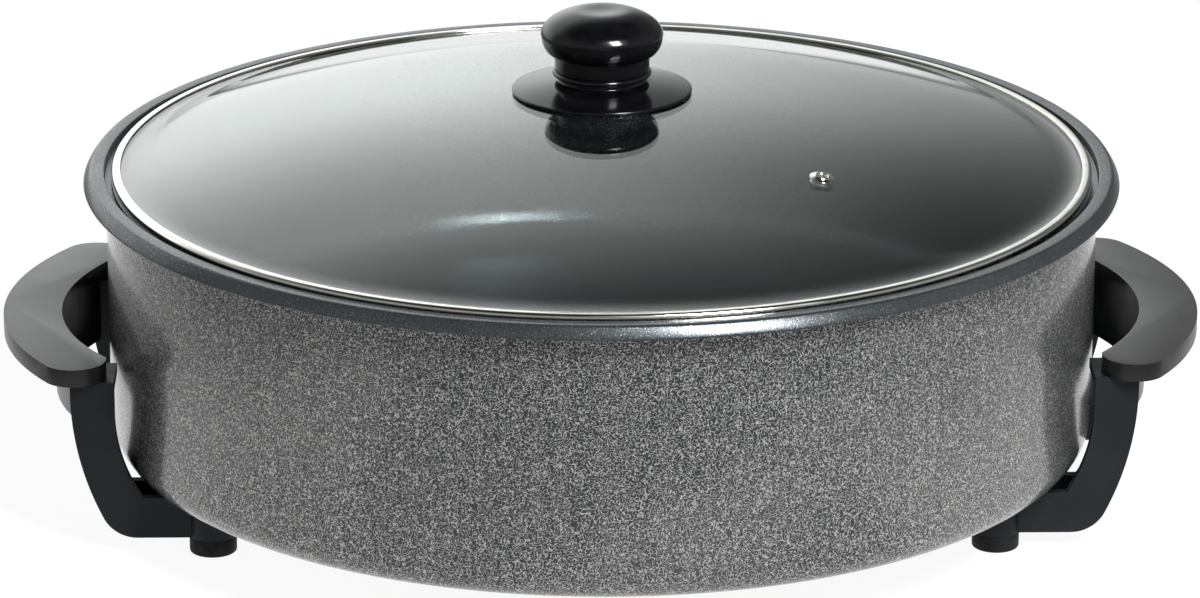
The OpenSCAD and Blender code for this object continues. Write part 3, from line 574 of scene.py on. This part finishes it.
def camera():
    """Stands a little left of the front, 2.4 m off, looking 19 degrees down."""
    look = Vector((0.0233, 0.9470, -0.3205))
    roll = 0.0027
    bpy.ops.object.camera_add(location=(-0.0559, -2.2530, 0.8438))
    cam = bpy.context.object
    turn = look.to_track_quat("-Z", "Y").to_matrix().to_4x4()
    cam.rotation_euler = turn.to_euler()
    cam.rotation_euler.rotate_axis("Z", roll)
    cam.data.sensor_width = 36.0
    cam.data.lens = 174.2
    cam.data.clip_start = 0.05
    cam.data.clip_end = 50.0
    bpy.context.scene.camera = cam


def softbox(name, azimuth, elevation, distance, width, height, strength):
    """An area lamp aimed at the pan, in metres. Azimuth 0 stands in front, 90 to the right."""
    a, e = math.radians(azimuth), math.radians(elevation)
    away = Vector((math.sin(a) * math.cos(e), -math.cos(a) * math.cos(e), math.sin(e)))
    aim = Vector((0, 0, 0.12))
    bpy.ops.object.light_add(type="AREA", location=aim + away * distance)
    lamp = bpy.context.object
    lamp.name = name
    lamp.rotation_euler = away.to_track_quat("Z", "Y").to_euler()
    lamp.data.shape = "RECTANGLE"
    lamp.data.size = width
    lamp.data.size_y = height
    lamp.data.energy = strength * width * height * math.pi


def world():
    """White for the camera; elsewhere a studio with a pale wall behind, brighter on the left."""
    front_strength = 0.42
    left_strength, right_strength = 1.92, 0.21
    levels = [(0.0, 0.72), (0.28, 0.95), (0.6, 0.66), (0.85, 0.08)]    # (height, brightness)
    sky = bpy.data.worlds.new("studio")
    bpy.context.scene.world = sky
    sky.use_nodes = True
    nodes, links = sky.node_tree.nodes, sky.node_tree.links
    nodes.clear()
    place = nodes.new("ShaderNodeTexCoord").outputs["Generated"]
    split = nodes.new("ShaderNodeSeparateXYZ")
    links.new(place, split.inputs[0])
    rise = nodes.new("ShaderNodeValToRGB")
    rise.color_ramp.interpolation = "EASE"
    while len(rise.color_ramp.elements) < len(levels):
        rise.color_ramp.elements.new(0.5)
    for stop, (at, level) in zip(rise.color_ramp.elements, levels):
        stop.position = at
        stop.color = (level * 0.975, level, level * 0.99, 1)
    links.new(split.outputs["Z"], rise.inputs["Fac"])
    side = map_range(nodes, links, split.outputs["X"], -0.1, 0.31, left_strength, right_strength)
    behind = map_range(nodes, links, split.outputs["Y"], 0.2, 0.6, 0.0, 1.0)
    strength = nodes.new("ShaderNodeMix")
    strength.inputs["A"].default_value = front_strength
    links.new(behind, strength.inputs["Factor"])
    links.new(side, strength.inputs["B"])
    room = nodes.new("ShaderNodeBackground")
    links.new(rise.outputs["Color"], room.inputs["Color"])
    links.new(strength.outputs["Result"], room.inputs["Strength"])
    plain = nodes.new("ShaderNodeBackground")
    plain.inputs["Color"].default_value = (1, 1, 1, 1)
    seen = nodes.new("ShaderNodeLightPath")
    both = mix_shaders(nodes, links, seen.outputs["Is Camera Ray"], room.outputs[0], plain.outputs[0])
    out = nodes.new("ShaderNodeOutputWorld")
    links.new(both, out.inputs["Surface"])


def floor():
    """A pale table: white to the camera with a faint shadow, brightest behind to mirroring rays."""
    white_share = 0.88
    white_strength = 1.06
    front_sheen = 0.22
    side_sheen = 0.3
    bpy.ops.mesh.primitive_plane_add(size=12.0, location=(0, 0, 0))
    table = bpy.context.object
    table.name = "table"
    material = bpy.data.materials.new("pale_table")
    material.use_nodes = True
    nodes, links = material.node_tree.nodes, material.node_tree.links
    nodes.clear()
    matt = nodes.new("ShaderNodeBsdfDiffuse")
    matt.inputs["Color"].default_value = (0.86, 0.86, 0.86, 1)
    seen = nodes.new("ShaderNodeLightPath")
    white = nodes.new("ShaderNodeEmission")
    white.inputs["Strength"].default_value = white_strength
    shown = reckon(nodes, links, "MULTIPLY", seen.outputs["Is Camera Ray"], white_share)
    place = nodes.new("ShaderNodeTexCoord").outputs["Object"]
    split = nodes.new("ShaderNodeSeparateXYZ")
    links.new(place, split.inputs[0])
    aside = reckon(nodes, links, "ABSOLUTE", split.outputs["X"])
    towards_back = map_range(nodes, links, split.outputs["Y"], -0.9, 0.1, front_sheen, 1.0)
    towards_middle = map_range(nodes, links, aside, 0.24, 0.6, 1.0, side_sheen)
    sheen = nodes.new("ShaderNodeEmission")
    links.new(reckon(nodes, links, "MULTIPLY", towards_back, towards_middle), sheen.inputs["Strength"])
    mirroring = reckon(nodes, links, "MAXIMUM", seen.outputs["Is Glossy Ray"],
                       seen.outputs["Is Transmission Ray"])
    plain = mix_shaders(nodes, links, shown, matt.outputs[0], white.outputs[0])
    both = mix_shaders(nodes, links, mirroring, plain, sheen.outputs[0])
    out = nodes.new("ShaderNodeOutputMaterial")
    links.new(both, out.inputs["Surface"])
    table.data.materials.append(material)


camera()
world()
floor()
softbox("key_core", 29, 43, distance=1.8, width=0.44, height=0.76, strength=60)
softbox("key_surround", 29, 43, distance=1.82, width=1.3, height=1.2, strength=0.5)
bpy.context.scene.view_settings.view_transform = "Standard"


# ---------- pan and shell ----------

def make_pan():
    """Pan with a lid seat and a lip: a small round, a gently crowned sloping face and a soft crown."""
    edge_r = 0.8
    face_r = 15.0
    face_start, face_end = 24, 40
    brink_r = 0.5
    nook_r = 0.6
    ledge_r = 1
    straight = 30      # the inner wall is drawn again this far over its bottom round
    out_r = PAN_R + PAN_WALL
    under = pan_low.z
    corner = PAN_CORNER + PAN_WALL
    floor_z = under + PAN_FLOOR
    profile = [(0, under)]
    profile += arc(out_r - corner, under + corner, corner, -90, 0, 14)
    profile += [(out_r, RIM_Z - LIP_DROP)]
    profile += arc(LIP_R - LIP_DROP, RIM_Z, LIP_DROP, -90, 0, 8)
    profile += arc(LIP_R - edge_r, RIM_Z, edge_r, 0, face_start, 3)[1:]
    profile += blend_arc(profile[-1], face_r, face_start, face_end, 8)
    crown_r = (pan_high.z - profile[-1][1]) / (1 - math.sin(math.radians(face_end)))
    profile += blend_arc(profile[-1], crown_r, face_end, 90, 10)
    profile += arc(SEAT_R + brink_r, pan_high.z - brink_r, brink_r, 90, 180, 5)
    profile += arc(SEAT_R - nook_r, SEAT_Z + nook_r, nook_r, 0, -90, 3)
    profile += arc(PAN_R + ledge_r, SEAT_Z - ledge_r, ledge_r, 90, 180, 5)
    profile += [(PAN_R, floor_z + PAN_CORNER + straight)]
    profile += arc(PAN_R - PAN_CORNER, floor_z + PAN_CORNER, PAN_CORNER, 0, -90, 20)
    profile += [(PAN_R * 0.5, floor_z), (0, floor_z)]
    settle(lathe("pan", profile, closed=False), "skillet", "non_stick_pan", "inner_pan")


def make_shell():
    """Hammered shell with room cut for the inlet at its right."""
    base = shell_low.z
    inner = SHELL_R - SHELL_T
    flange_in = SHELL_R - SHELL_CORNER - FLANGE_W
    corner_x, corner_z = SHELL_R - SHELL_CORNER, base + SHELL_CORNER
    small = SHELL_CORNER - SHELL_T
    profile = [(flange_in, base)]
    profile += arc(corner_x, corner_z, SHELL_CORNER, -90, 0, 14)
    profile += [(SHELL_R, shell_high.z), (inner, shell_high.z)]
    profile += arc(corner_x, corner_z, small, 0, -90, 14)
    profile += [(flange_in, base + SHELL_T)]
    shell = lathe("hammered_shell", profile)
    low, high = inlet_low, inlet_high
    outline = plan(low.x, high.x, low.y - GAP, high.y + GAP, low.z - GAP)
    combine(shell, extrude("inlet_cut", outline, (0, 0, high.z - low.z + 2 * GAP)), "DIFFERENCE")
    settle(shell, "skillet", "hammered_shell", "outer_shell")


# ---------- lid ----------

def dome_height(radius, inner=False):
    """Height of the dome's outer or inner face at a radius."""
    middle = GLASS_TOP + DOME_H - DOME_SPHERE
    return middle + math.sqrt((DOME_SPHERE - (GLASS_T if inner else 0)) ** 2 - radius ** 2)


def ease(start, middle, end, count=8):
    """Points of a smooth bend from start to end that heads for the middle point."""
    points = []
    for i in range(1, count):
        t = i / count
        points.append(tuple((1 - t) ** 2 * a + 2 * t * (1 - t) * b + t * t * c
                            for a, b, c in zip(start, middle, end)))
    return points


def make_glass():
    """Glass with a dome that bends softly into its flat edge."""
    bend = 7.0
    bend_out = 0.6 * bend
    inside = 1         # the lower face bends this much nearer the middle
    steps = 40
    hole = LID_HOLE_R
    outer = [DOME_R - bend + (hole - DOME_R + bend) * i / steps for i in range(steps + 1)]
    outer = [(r, dome_height(r)) for r in outer]
    inner = [hole + (DOME_R - bend - inside - hole) * i / steps for i in range(steps + 1)]
    inner = [(r, dome_height(r, True)) for r in inner]
    top_start = (DOME_R + bend_out, GLASS_TOP)
    low_start = (DOME_R + bend_out - inside, glass_low.z)
    profile = [(GLASS_R, glass_low.z), (GLASS_R, GLASS_TOP), top_start]
    profile += ease(top_start, (DOME_R, GLASS_TOP), outer[0]) + outer
    profile += inner + ease(inner[-1], (DOME_R - inside, glass_low.z), low_start) + [low_start]
    dome = lathe("glass_dome", profile)
    cut_r = VENT_NECK_R + FIT
    cut = [(0, -GLASS_T - PAST), (cut_r, -GLASS_T - PAST), (cut_r, PAST), (0, PAST)]
    combine(dome, at_vent(lathe("vent_hole", cut, closed=False, steps=SMALL_ROUND)), "DIFFERENCE")
    shift((0, LID_Y * MM, 0))
    smooth()
    settle(dome, "lid", "lid_glass", "lid_glass")


def at_vent(piece):
    """Moves a piece from the origin to the vent, square to the glass."""
    middle = glass_high.z - DOME_SPHERE
    tilt = math.asin(VENT_R / DOME_SPHERE)
    bpy.ops.object.mode_set(mode="EDIT")
    bpy.ops.mesh.select_all(action="SELECT")
    bpy.ops.transform.translate(value=(0, 0, DOME_SPHERE * MM))
    bpy.ops.transform.rotate(value=TURN * tilt, orient_axis="Y", center_override=(0, 0, 0))
    bpy.ops.transform.translate(value=(0, 0, middle * MM))
    bpy.ops.transform.rotate(value=TURN * math.radians(VENT_ANGLE), orient_axis="Z",
                             center_override=(0, 0, 0))
    bpy.ops.object.mode_set(mode="OBJECT")
    return piece


def make_vent():
    """Rolled eyelet with a flat flange on the glass and a curl under it."""
    hole_r = 1.75
    flange_r = 5.0
    flange_edge = 0.25
    step_r, step_z = flange_r - 1.1, 0.72
    foot_r, foot_z = flange_r - 1.5, 0.88
    crest_r, crest_z = 2.6, 1.45
    crest_w, crest_h = 0.7, 0.62
    hole_top = crest_z - 0.8
    curl_r = 4.4
    curl_edge = 0.3
    under = -GLASS_T
    profile = [(VENT_NECK_R, FIT)]
    profile += arc(flange_r - flange_edge, FIT + flange_edge, flange_edge, -80, 80, 6)
    profile += [(step_r, step_z), (foot_r, foot_z)]
    profile += oval_arc(crest_r, crest_z - crest_h, crest_w, crest_h, 25, 165, 10)
    profile += [(hole_r, hole_top), (hole_r, under - 0.7)]
    profile += arc(hole_r + curl_edge, under - 2 * curl_edge, curl_edge, 200, 270, 3)
    profile += arc(curl_r - curl_edge, under - curl_edge - FIT, curl_edge, -80, 80, 5)
    profile += [(VENT_NECK_R, under - FIT)]
    vent = at_vent(lathe("vent_eyelet", profile, steps=SMALL_ROUND))
    shift((0, LID_Y * MM, 0))
    smooth(40)
    settle(vent, "lid", "polished_steel", "vent_grommet")


def make_band():
    """Steel band folded over the glass edge."""
    fold = 3.2
    fold_r = GLASS_R - fold
    top = band_high.z
    under = band_low.z
    low_r = 0.7
    shoulder_r = 1.6
    lap_r = 0.35
    profile = [(fold_r, under)]
    profile += arc(BAND_R - low_r, under + low_r, low_r, -90, 0, 4)
    profile += arc(BAND_R - shoulder_r, top - shoulder_r, shoulder_r, 0, 90, 8)
    profile += arc(fold_r + lap_r, top - lap_r, lap_r, 90, 180, 3)
    profile += [(fold_r, GLASS_TOP), (GLASS_R, GLASS_TOP), (GLASS_R, glass_low.z), (fold_r, glass_low.z)]
    settle(lathe("rim_band", profile, y=LID_Y), "lid", "polished_steel", "lid_band")


def make_disc():
    """Guard disc with a waist and a rolled collar that carries the knob."""
    edge = disc_low.z
    edge_t = 1.2
    gasket_t = 0.8
    seat_r = 12
    seat = glass_high.z + gasket_t
    waist_r = 17.8
    nook_r = 0.5
    collar_r = 20.1
    collar_h = 2.3
    roll_r = collar_h / 2
    knob_z = disc_high.z
    collar_z = knob_z - collar_h
    disc_r = (disc_high.x - disc_low.x) / 2
    swell = 3.5        # how far the disc rises from its edge to the waist
    top = edge + edge_t + swell
    rim_r = edge_t / 2
    rim_x = disc_r - rim_r
    steps = 9
    profile = [(LID_HOLE_R, seat), (seat_r, seat), (waist_r, top - 1.8), (27.15, edge + 1.6)]
    profile += [(rim_x, edge)]
    profile += arc(rim_x, edge + rim_r, rim_r, -60, 84, 8)
    for i in range(1, steps):
        share = i / steps
        rise = 1.2 * share - 0.2 * share ** 2
        profile.append((rim_x - (rim_x - waist_r - 0.6) * share, edge + edge_t + swell * rise))
    profile += arc(waist_r + nook_r, top + nook_r, nook_r, -90, -180, 3)
    profile += [(waist_r, collar_z - 0.2)]
    profile += arc(collar_r - roll_r, collar_z + roll_r, roll_r, -90, 60, 10)
    profile += [(collar_r - 0.9, knob_z), (LID_HOLE_R, knob_z)]
    disc = lathe("guard_disc", profile, steps=128, y=LID_Y)
    settle(disc, "lid", "knob_plastic", "knob_disc")


def make_knob():
    """Knob with a short neck, a mushroom cap and a soft hollow on top."""
    cap_r = (knob_high.x - knob_low.x) / 2
    cap_step = 0.3
    neck_r = 19.2
    neck_h = 6.5
    neck_edge = 0.6
    cap_h = 7.8        # from the cap's underside to its widest line
    crown = 11.5
    bottom = knob_low.z
    under = bottom + neck_h
    cap_z = under + cap_h
    hollow_r = 9.5
    hollow_h = 0.7
    bore_r, bore_h = 4.45, 13
    bore_top = bottom + bore_h
    dip = hollow_h + crown * (1 - math.sqrt(1 - (hollow_r / cap_r) ** 2))
    dip_r = 1.3 * hollow_r
    dip_angle = math.degrees(math.acos(dip_r / cap_r))
    dip_steps = 14
    profile = [(0, bore_top), (bore_r, bore_top), (bore_r, bottom), (neck_r - neck_edge, bottom)]
    profile += arc(neck_r - neck_edge, bottom + neck_edge, neck_edge, -90, 0, 4)
    profile += oval_arc(neck_r, cap_z, cap_r - neck_r - cap_step, cap_z - under, -90, -3, 14)
    profile += [(cap_r - 0.25, cap_z), (cap_r - 0.05, cap_z + 0.2)]
    profile += oval_arc(0, cap_z, cap_r, crown, 4, dip_angle - 3, 20)
    for i in range(dip_steps + 1):
        x = dip_r * (1 - i / dip_steps)
        height = crown * math.sqrt(1 - (x / cap_r) ** 2)
        profile.append((x, cap_z + height - dip * (1 - (x / dip_r) ** 2) ** 2))
    body = lathe("knob_body", profile, closed=False, steps=160, y=LID_Y)
    settle(body, "lid", "knob_plastic", "knob")


# ---------- grips, legs and feet ----------

def grip_outline(z):
    """Plan of the right grip: outer arc, round ends and the finger cut's inner arc."""
    outer_x = grip_high.x - GRIP_OUT_R
    end_r = GRIP_END_R
    end_y = grip_high.y - end_r
    end_x = outer_x + math.sqrt((GRIP_OUT_R - end_r) ** 2 - end_y ** 2)
    end_angle = math.degrees(math.atan2(end_y, end_x - outer_x))
    tip_x = end_x - end_r
    tip_y = math.sqrt(GRIP_IN_R ** 2 - (tip_x - GRIP_IN_X) ** 2)
    tip_angle = math.degrees(math.asin(tip_y / GRIP_IN_R))
    half = arc(outer_x, 0, GRIP_OUT_R, 0, end_angle, 16)[1:-1]
    half += arc(end_x, end_y, end_r, end_angle, 180, 18)
    outline = [(outer_x + GRIP_OUT_R, 0)] + half
    outline += arc(GRIP_IN_X, 0, GRIP_IN_R, tip_angle, -tip_angle, 44)
    outline += [(x, -y) for x, y in reversed(half)]
    return [(x, y, z) for x, y in outline]


def make_grips():
    """Grip plates with the finger guard that hangs from each."""
    edge_r = 1.1
    guard_r = GRIP_IN_R + GUARD_T
    side = math.degrees(math.asin(GUARD_HALF_L / guard_r))
    plate = extrude("right_grip", grip_outline(grip_high.z - GRIP_T), (0, 0, GRIP_T))
    outline = arc(GRIP_IN_X, 0, guard_r, -side, side, 32)
    outline += arc(GRIP_IN_X, 0, GRIP_IN_R, side, -side, 32)
    guard = extrude("finger_guard", [(x, y, grip_low.z) for x, y in outline],
                    (0, 0, grip_high.z - GRIP_T / 2 - grip_low.z))
    combine(plate, guard, "UNION")
    round_edges(plate, edge_r, 4)
    settle(mirrored(plate, "left_grip", x=-1), "skillet", "grip_plastic", "left_handle")
    settle(plate, "skillet", "grip_plastic", "right_handle")


def make_legs():
    """Hollow legs, open towards the pan, modelled at the right front and copied."""
    edge_r = 0.6
    wall = 4.0
    top = leg_high.z
    bottom = leg_low.z
    front, back = -76.0, -52.0
    shell_room = 1.2
    width = 17.5
    in_x = math.sqrt((SHELL_R + shell_room) ** 2 - back ** 2)
    out_x = in_x + width
    bend_r, bend_drop = 120.0, 4.8         # outer face, straight for this far under the top
    inner_r, inner_drop = 65.0, 14.0       # inner face, in the same way
    bend_x, bend_z = out_x - bend_r, top - bend_drop
    inner_x, inner_z = in_x - inner_r, top - inner_drop
    corner_r = 15.0
    corner_z = bottom + corner_r
    corner_x = bend_x + math.sqrt((bend_r - corner_r) ** 2 - (bend_z - corner_z) ** 2)
    turn = math.degrees(math.atan2(corner_z - bend_z, corner_x - bend_x))
    arm_h = 17.0
    arm_top = bottom + arm_h
    arm_angle = -math.degrees(math.asin((inner_z - arm_top) / inner_r))
    post_x = FOOT_PLACE.x
    base = shell_low.z

    outline = [(out_x, top)] + arc(bend_x, bend_z, bend_r, 0, turn, 20)
    outline += arc(corner_x, corner_z, corner_r, turn, -90, 12)[1:]
    outline += [(post_x, bottom), (post_x, arm_top)]
    outline += arc(inner_x, inner_z, inner_r, arm_angle, 0, 20) + [(in_x, top)]
    leg = extrude("right_front_leg_arm", [(x, front, z) for x, z in outline], (0, back - front, 0))
    room_r = SHELL_CORNER + GAP
    room_top = top + PAST
    room = [(0, base - GAP)]
    room += arc(SHELL_R - SHELL_CORNER, base + SHELL_CORNER, room_r, -90, 0, 14)
    room += [(SHELL_R + GAP, room_top), (0, room_top)]
    combine(leg, lathe("shell_room", room, closed=False), "DIFFERENCE")

    hollow = [(out_x - wall, top - wall)]
    hollow += arc(bend_x, bend_z, bend_r - wall, 0, turn, 20)
    hollow += arc(corner_x, corner_z, corner_r - wall, turn, -90, 12)[1:]
    hollow += [(post_x + FOOT_R, bottom + wall), (post_x + FOOT_R, top - wall)]
    inside = extrude("leg_hollow", [(x, front + wall, z) for x, z in hollow],
                     (0, back - front - 2 * wall, 0))
    combine(leg, inside, "DIFFERENCE")

    stand_back = 6.0
    strip = [(post_x, arm_top)]
    strip += arc(inner_x + stand_back, inner_z, inner_r, arm_angle, 0, 20)
    strip += [(in_x + stand_back, top - wall), (post_x, top - wall)]
    side_room = extrude("side_room", [(x, back - wall - 0.01, z) for x, z in strip], (0, wall + 1, 0))
    combine(leg, side_room, "DIFFERENCE")

    flare = 1.9
    flare_h = 2 * flare
    curve = oval_arc(out_x + flare, top - flare_h, flare, flare_h, 90, 180, 6)
    curve += [(out_x - 1, top - flare_h), (out_x - 1, top)]
    wedge = extrude("flare", [(x, front + wall, z) for x, z in curve], (0, back - front - 2 * wall, 0))
    combine(leg, wedge, "UNION")

    column = lathe("post", [(0, bottom), (FOOT_R, bottom), (FOOT_R, base), (0, base)],
                   closed=False, steps=SMALL_ROUND)
    shift(FOOT_PLACE * MM)
    round_edges(leg, edge_r, 3)
    combine(leg, column, "UNION")
    smooth(FLAT_ANGLE)
    for name, x, y in (("left_front_leg", -1, 1), ("left_rear_leg", -1, -1), ("right_rear_leg", 1, -1)):
        settle(mirrored(leg, name + "_arm", x, y), "skillet", "leg_plastic", name)
    settle(leg, "skillet", "leg_plastic", "right_front_leg")


def make_feet():
    """Rubber feet, each with a spigot that stands in its leg's post."""
    height = leg_low.z
    tread_r = 1.2
    edge_r = 0.15
    shoulder = 4.05
    spigot_r = FOOT_R - shoulder
    profile = [(0, 0), (FOOT_R - 2 * tread_r, 0)]
    profile += arc(FOOT_R - tread_r, tread_r, tread_r, -90, 0, 5)
    profile += arc(FOOT_R - edge_r, height - 0.2, edge_r, 0, 90, 2)
    profile += [(spigot_r, height), (spigot_r, foot_high.z), (0, foot_high.z)]
    foot = lathe("right_front_pad", profile, closed=False, steps=SMALL_ROUND)
    shift(FOOT_PLACE * MM)
    for side, x in (("left", -1), ("right", 1)):
        for end, y in (("front", 1), ("rear", -1)):
            if (side, end) != ("right", "front"):
                pad = mirrored(foot, side + "_" + end + "_pad", x, y)
                settle(pad, "skillet", "foot_rubber", side + "_" + end + "_foot")
    settle(foot, "skillet", "foot_rubber", "right_front_foot")


# ---------- inlet ----------

def make_inlet():
    """Housing of the plug-in thermostat's socket, with its mouth to the right."""
    wall = 2.0
    low, high = inlet_low, inlet_high
    half = high.y
    sleeve_end = 3.0   # how far the pins' sleeves stand past the block under the pan
    pan_room = 0.6
    mouth_in_x = insulator_high.x - sleeve_end
    wall_x = mouth_in_x + wall
    block_top = pan_low.z - pan_room
    outline = [(low.x, low.z), (high.x, low.z), (high.x, high.z), (mouth_in_x, high.z),
               (mouth_in_x, block_top), (low.x, block_top)]
    housing = extrude("inlet_socket", [(x, -half, z) for x, z in outline], (0, 2 * half, 0))
    mouth = plan(wall_x, high.x + 5, -half + wall, half - wall, low.z + wall)
    combine(housing, extrude("mouth", mouth, (0, 0, high.z - low.z - 2 * wall)), "DIFFERENCE")
    round_edges(housing, 0.6, 3)
    start, end = low.x - PAST, wall_x + PAST
    for y, r in ((-PIN_Y, INSULATOR_R), (PIN_Y, INSULATOR_R), (0, PROBE_R)):
        bore = [(0, start), (r + FIT, start), (r + FIT, end), (0, end)]
        cutter = lathe("bore", bore, closed=False, steps=SMALL_ROUND, y=y, z=INLET_AXIS_Z, lying=True)
        combine(housing, cutter, "DIFFERENCE")

    strip_half = 5.25
    strip_end = high.x - 1.75
    below = 1          # how far the slot, window and screw rooms start under the housing
    strip = plan(low.x - PAST, strip_end, -strip_half, strip_half, low.z - below)
    combine(housing, extrude("strip_slot", strip, (0, 0, 2.05)), "DIFFERENCE")
    window = plan(wall_x + PAST, strip_end, -strip_half, strip_half, low.z - below)
    combine(housing, extrude("strip_window", window, (0, 0, below + wall + 1)), "DIFFERENCE")
    screw_x = low.x + 8
    screw_y = PIN_Y + INSULATOR_R + 3.5
    shank_r, shank_top, head_r = 1.75, low.z + 6, 3.25
    for side in (-1, 1):
        recess = [(0, low.z - below), (shank_r, low.z - below), (shank_r, shank_top),
                  (head_r, shank_top), (head_r, high.z), (0, high.z)]
        cutter = lathe("screw_room", recess, closed=False, steps=48, y=side * screw_y)
        shift((screw_x * MM, 0, 0))
        combine(housing, cutter, "DIFFERENCE")
    smooth(FLAT_ANGLE)
    settle(housing, "skillet", "inlet_plastic", "inlet_housing")


def make_contacts():
    """Two round-nosed pins in ceramic sleeves, and the blind tube that takes the probe."""
    neck_r = PIN_R - 0.4
    nose_r = 1.6
    nose_x = pins_high.x - nose_r
    step = 0.2
    left, right = insulator_low.x, insulator_high.x
    pin = [(0, pins_low.x), (neck_r, pins_low.x), (neck_r, right),
           (PIN_R - step, right), (PIN_R, right + step), (PIN_R, nose_x)]
    pin += arc(PIN_R - nose_r, nose_x, nose_r, 0, 90, 8)[1:] + [(0, pins_high.x)]
    collar = 0.4
    tube_r = neck_r + FIT
    sleeve = [(tube_r, left), (INSULATOR_R - collar, left), (INSULATOR_R, left + collar)]
    sleeve += arc(INSULATOR_R - collar, right - collar, collar, 0, 90, 4)
    sleeve += arc(tube_r + collar, right - collar, collar, 90, 180, 4)
    plated = FINISHES["zinc_steel"]
    for name, profile, closed, slot, node, finish in (
            ("contact_pins", pin, False, "element_sheath", "inlet_pins", plated),
            ("pin_sleeves", sleeve, True, "white_ceramic", "pin_insulators", None)):
        rod = lathe(name, profile, closed=closed, steps=64, y=PIN_Y, z=INLET_AXIS_Z, lying=True)
        combine(rod, mirrored(rod, name + "_twin", y=-1), "UNION")
        smooth(30)
        settle(rod, "skillet", slot, node, finish)

    bore_r = 2.6
    tip, end = probe_low.x, probe_high.x
    chamfer = 0.5
    edge_r = 0.3
    bore_end = tip + 2
    guide = [(0, tip), (PROBE_R - chamfer, tip), (PROBE_R, tip + chamfer)]
    guide += arc(PROBE_R - edge_r, end - edge_r, edge_r, 0, 90, 4)
    guide += [(bore_r + edge_r, end), (bore_r, end - 0.4), (bore_r, bore_end), (0, bore_end)]
    tube = lathe("probe_guide", guide, closed=False, steps=64, z=INLET_AXIS_Z, lying=True)
    settle(tube, "skillet", "element_sheath", "probe_tube", plated)


make_pan()
make_shell()
make_glass()
make_band()
make_vent()
make_disc()
make_knob()
make_grips()
make_legs()
make_feet()
make_inlet()
make_contacts()

bpy.ops.object.select_all(action="DESELECT")
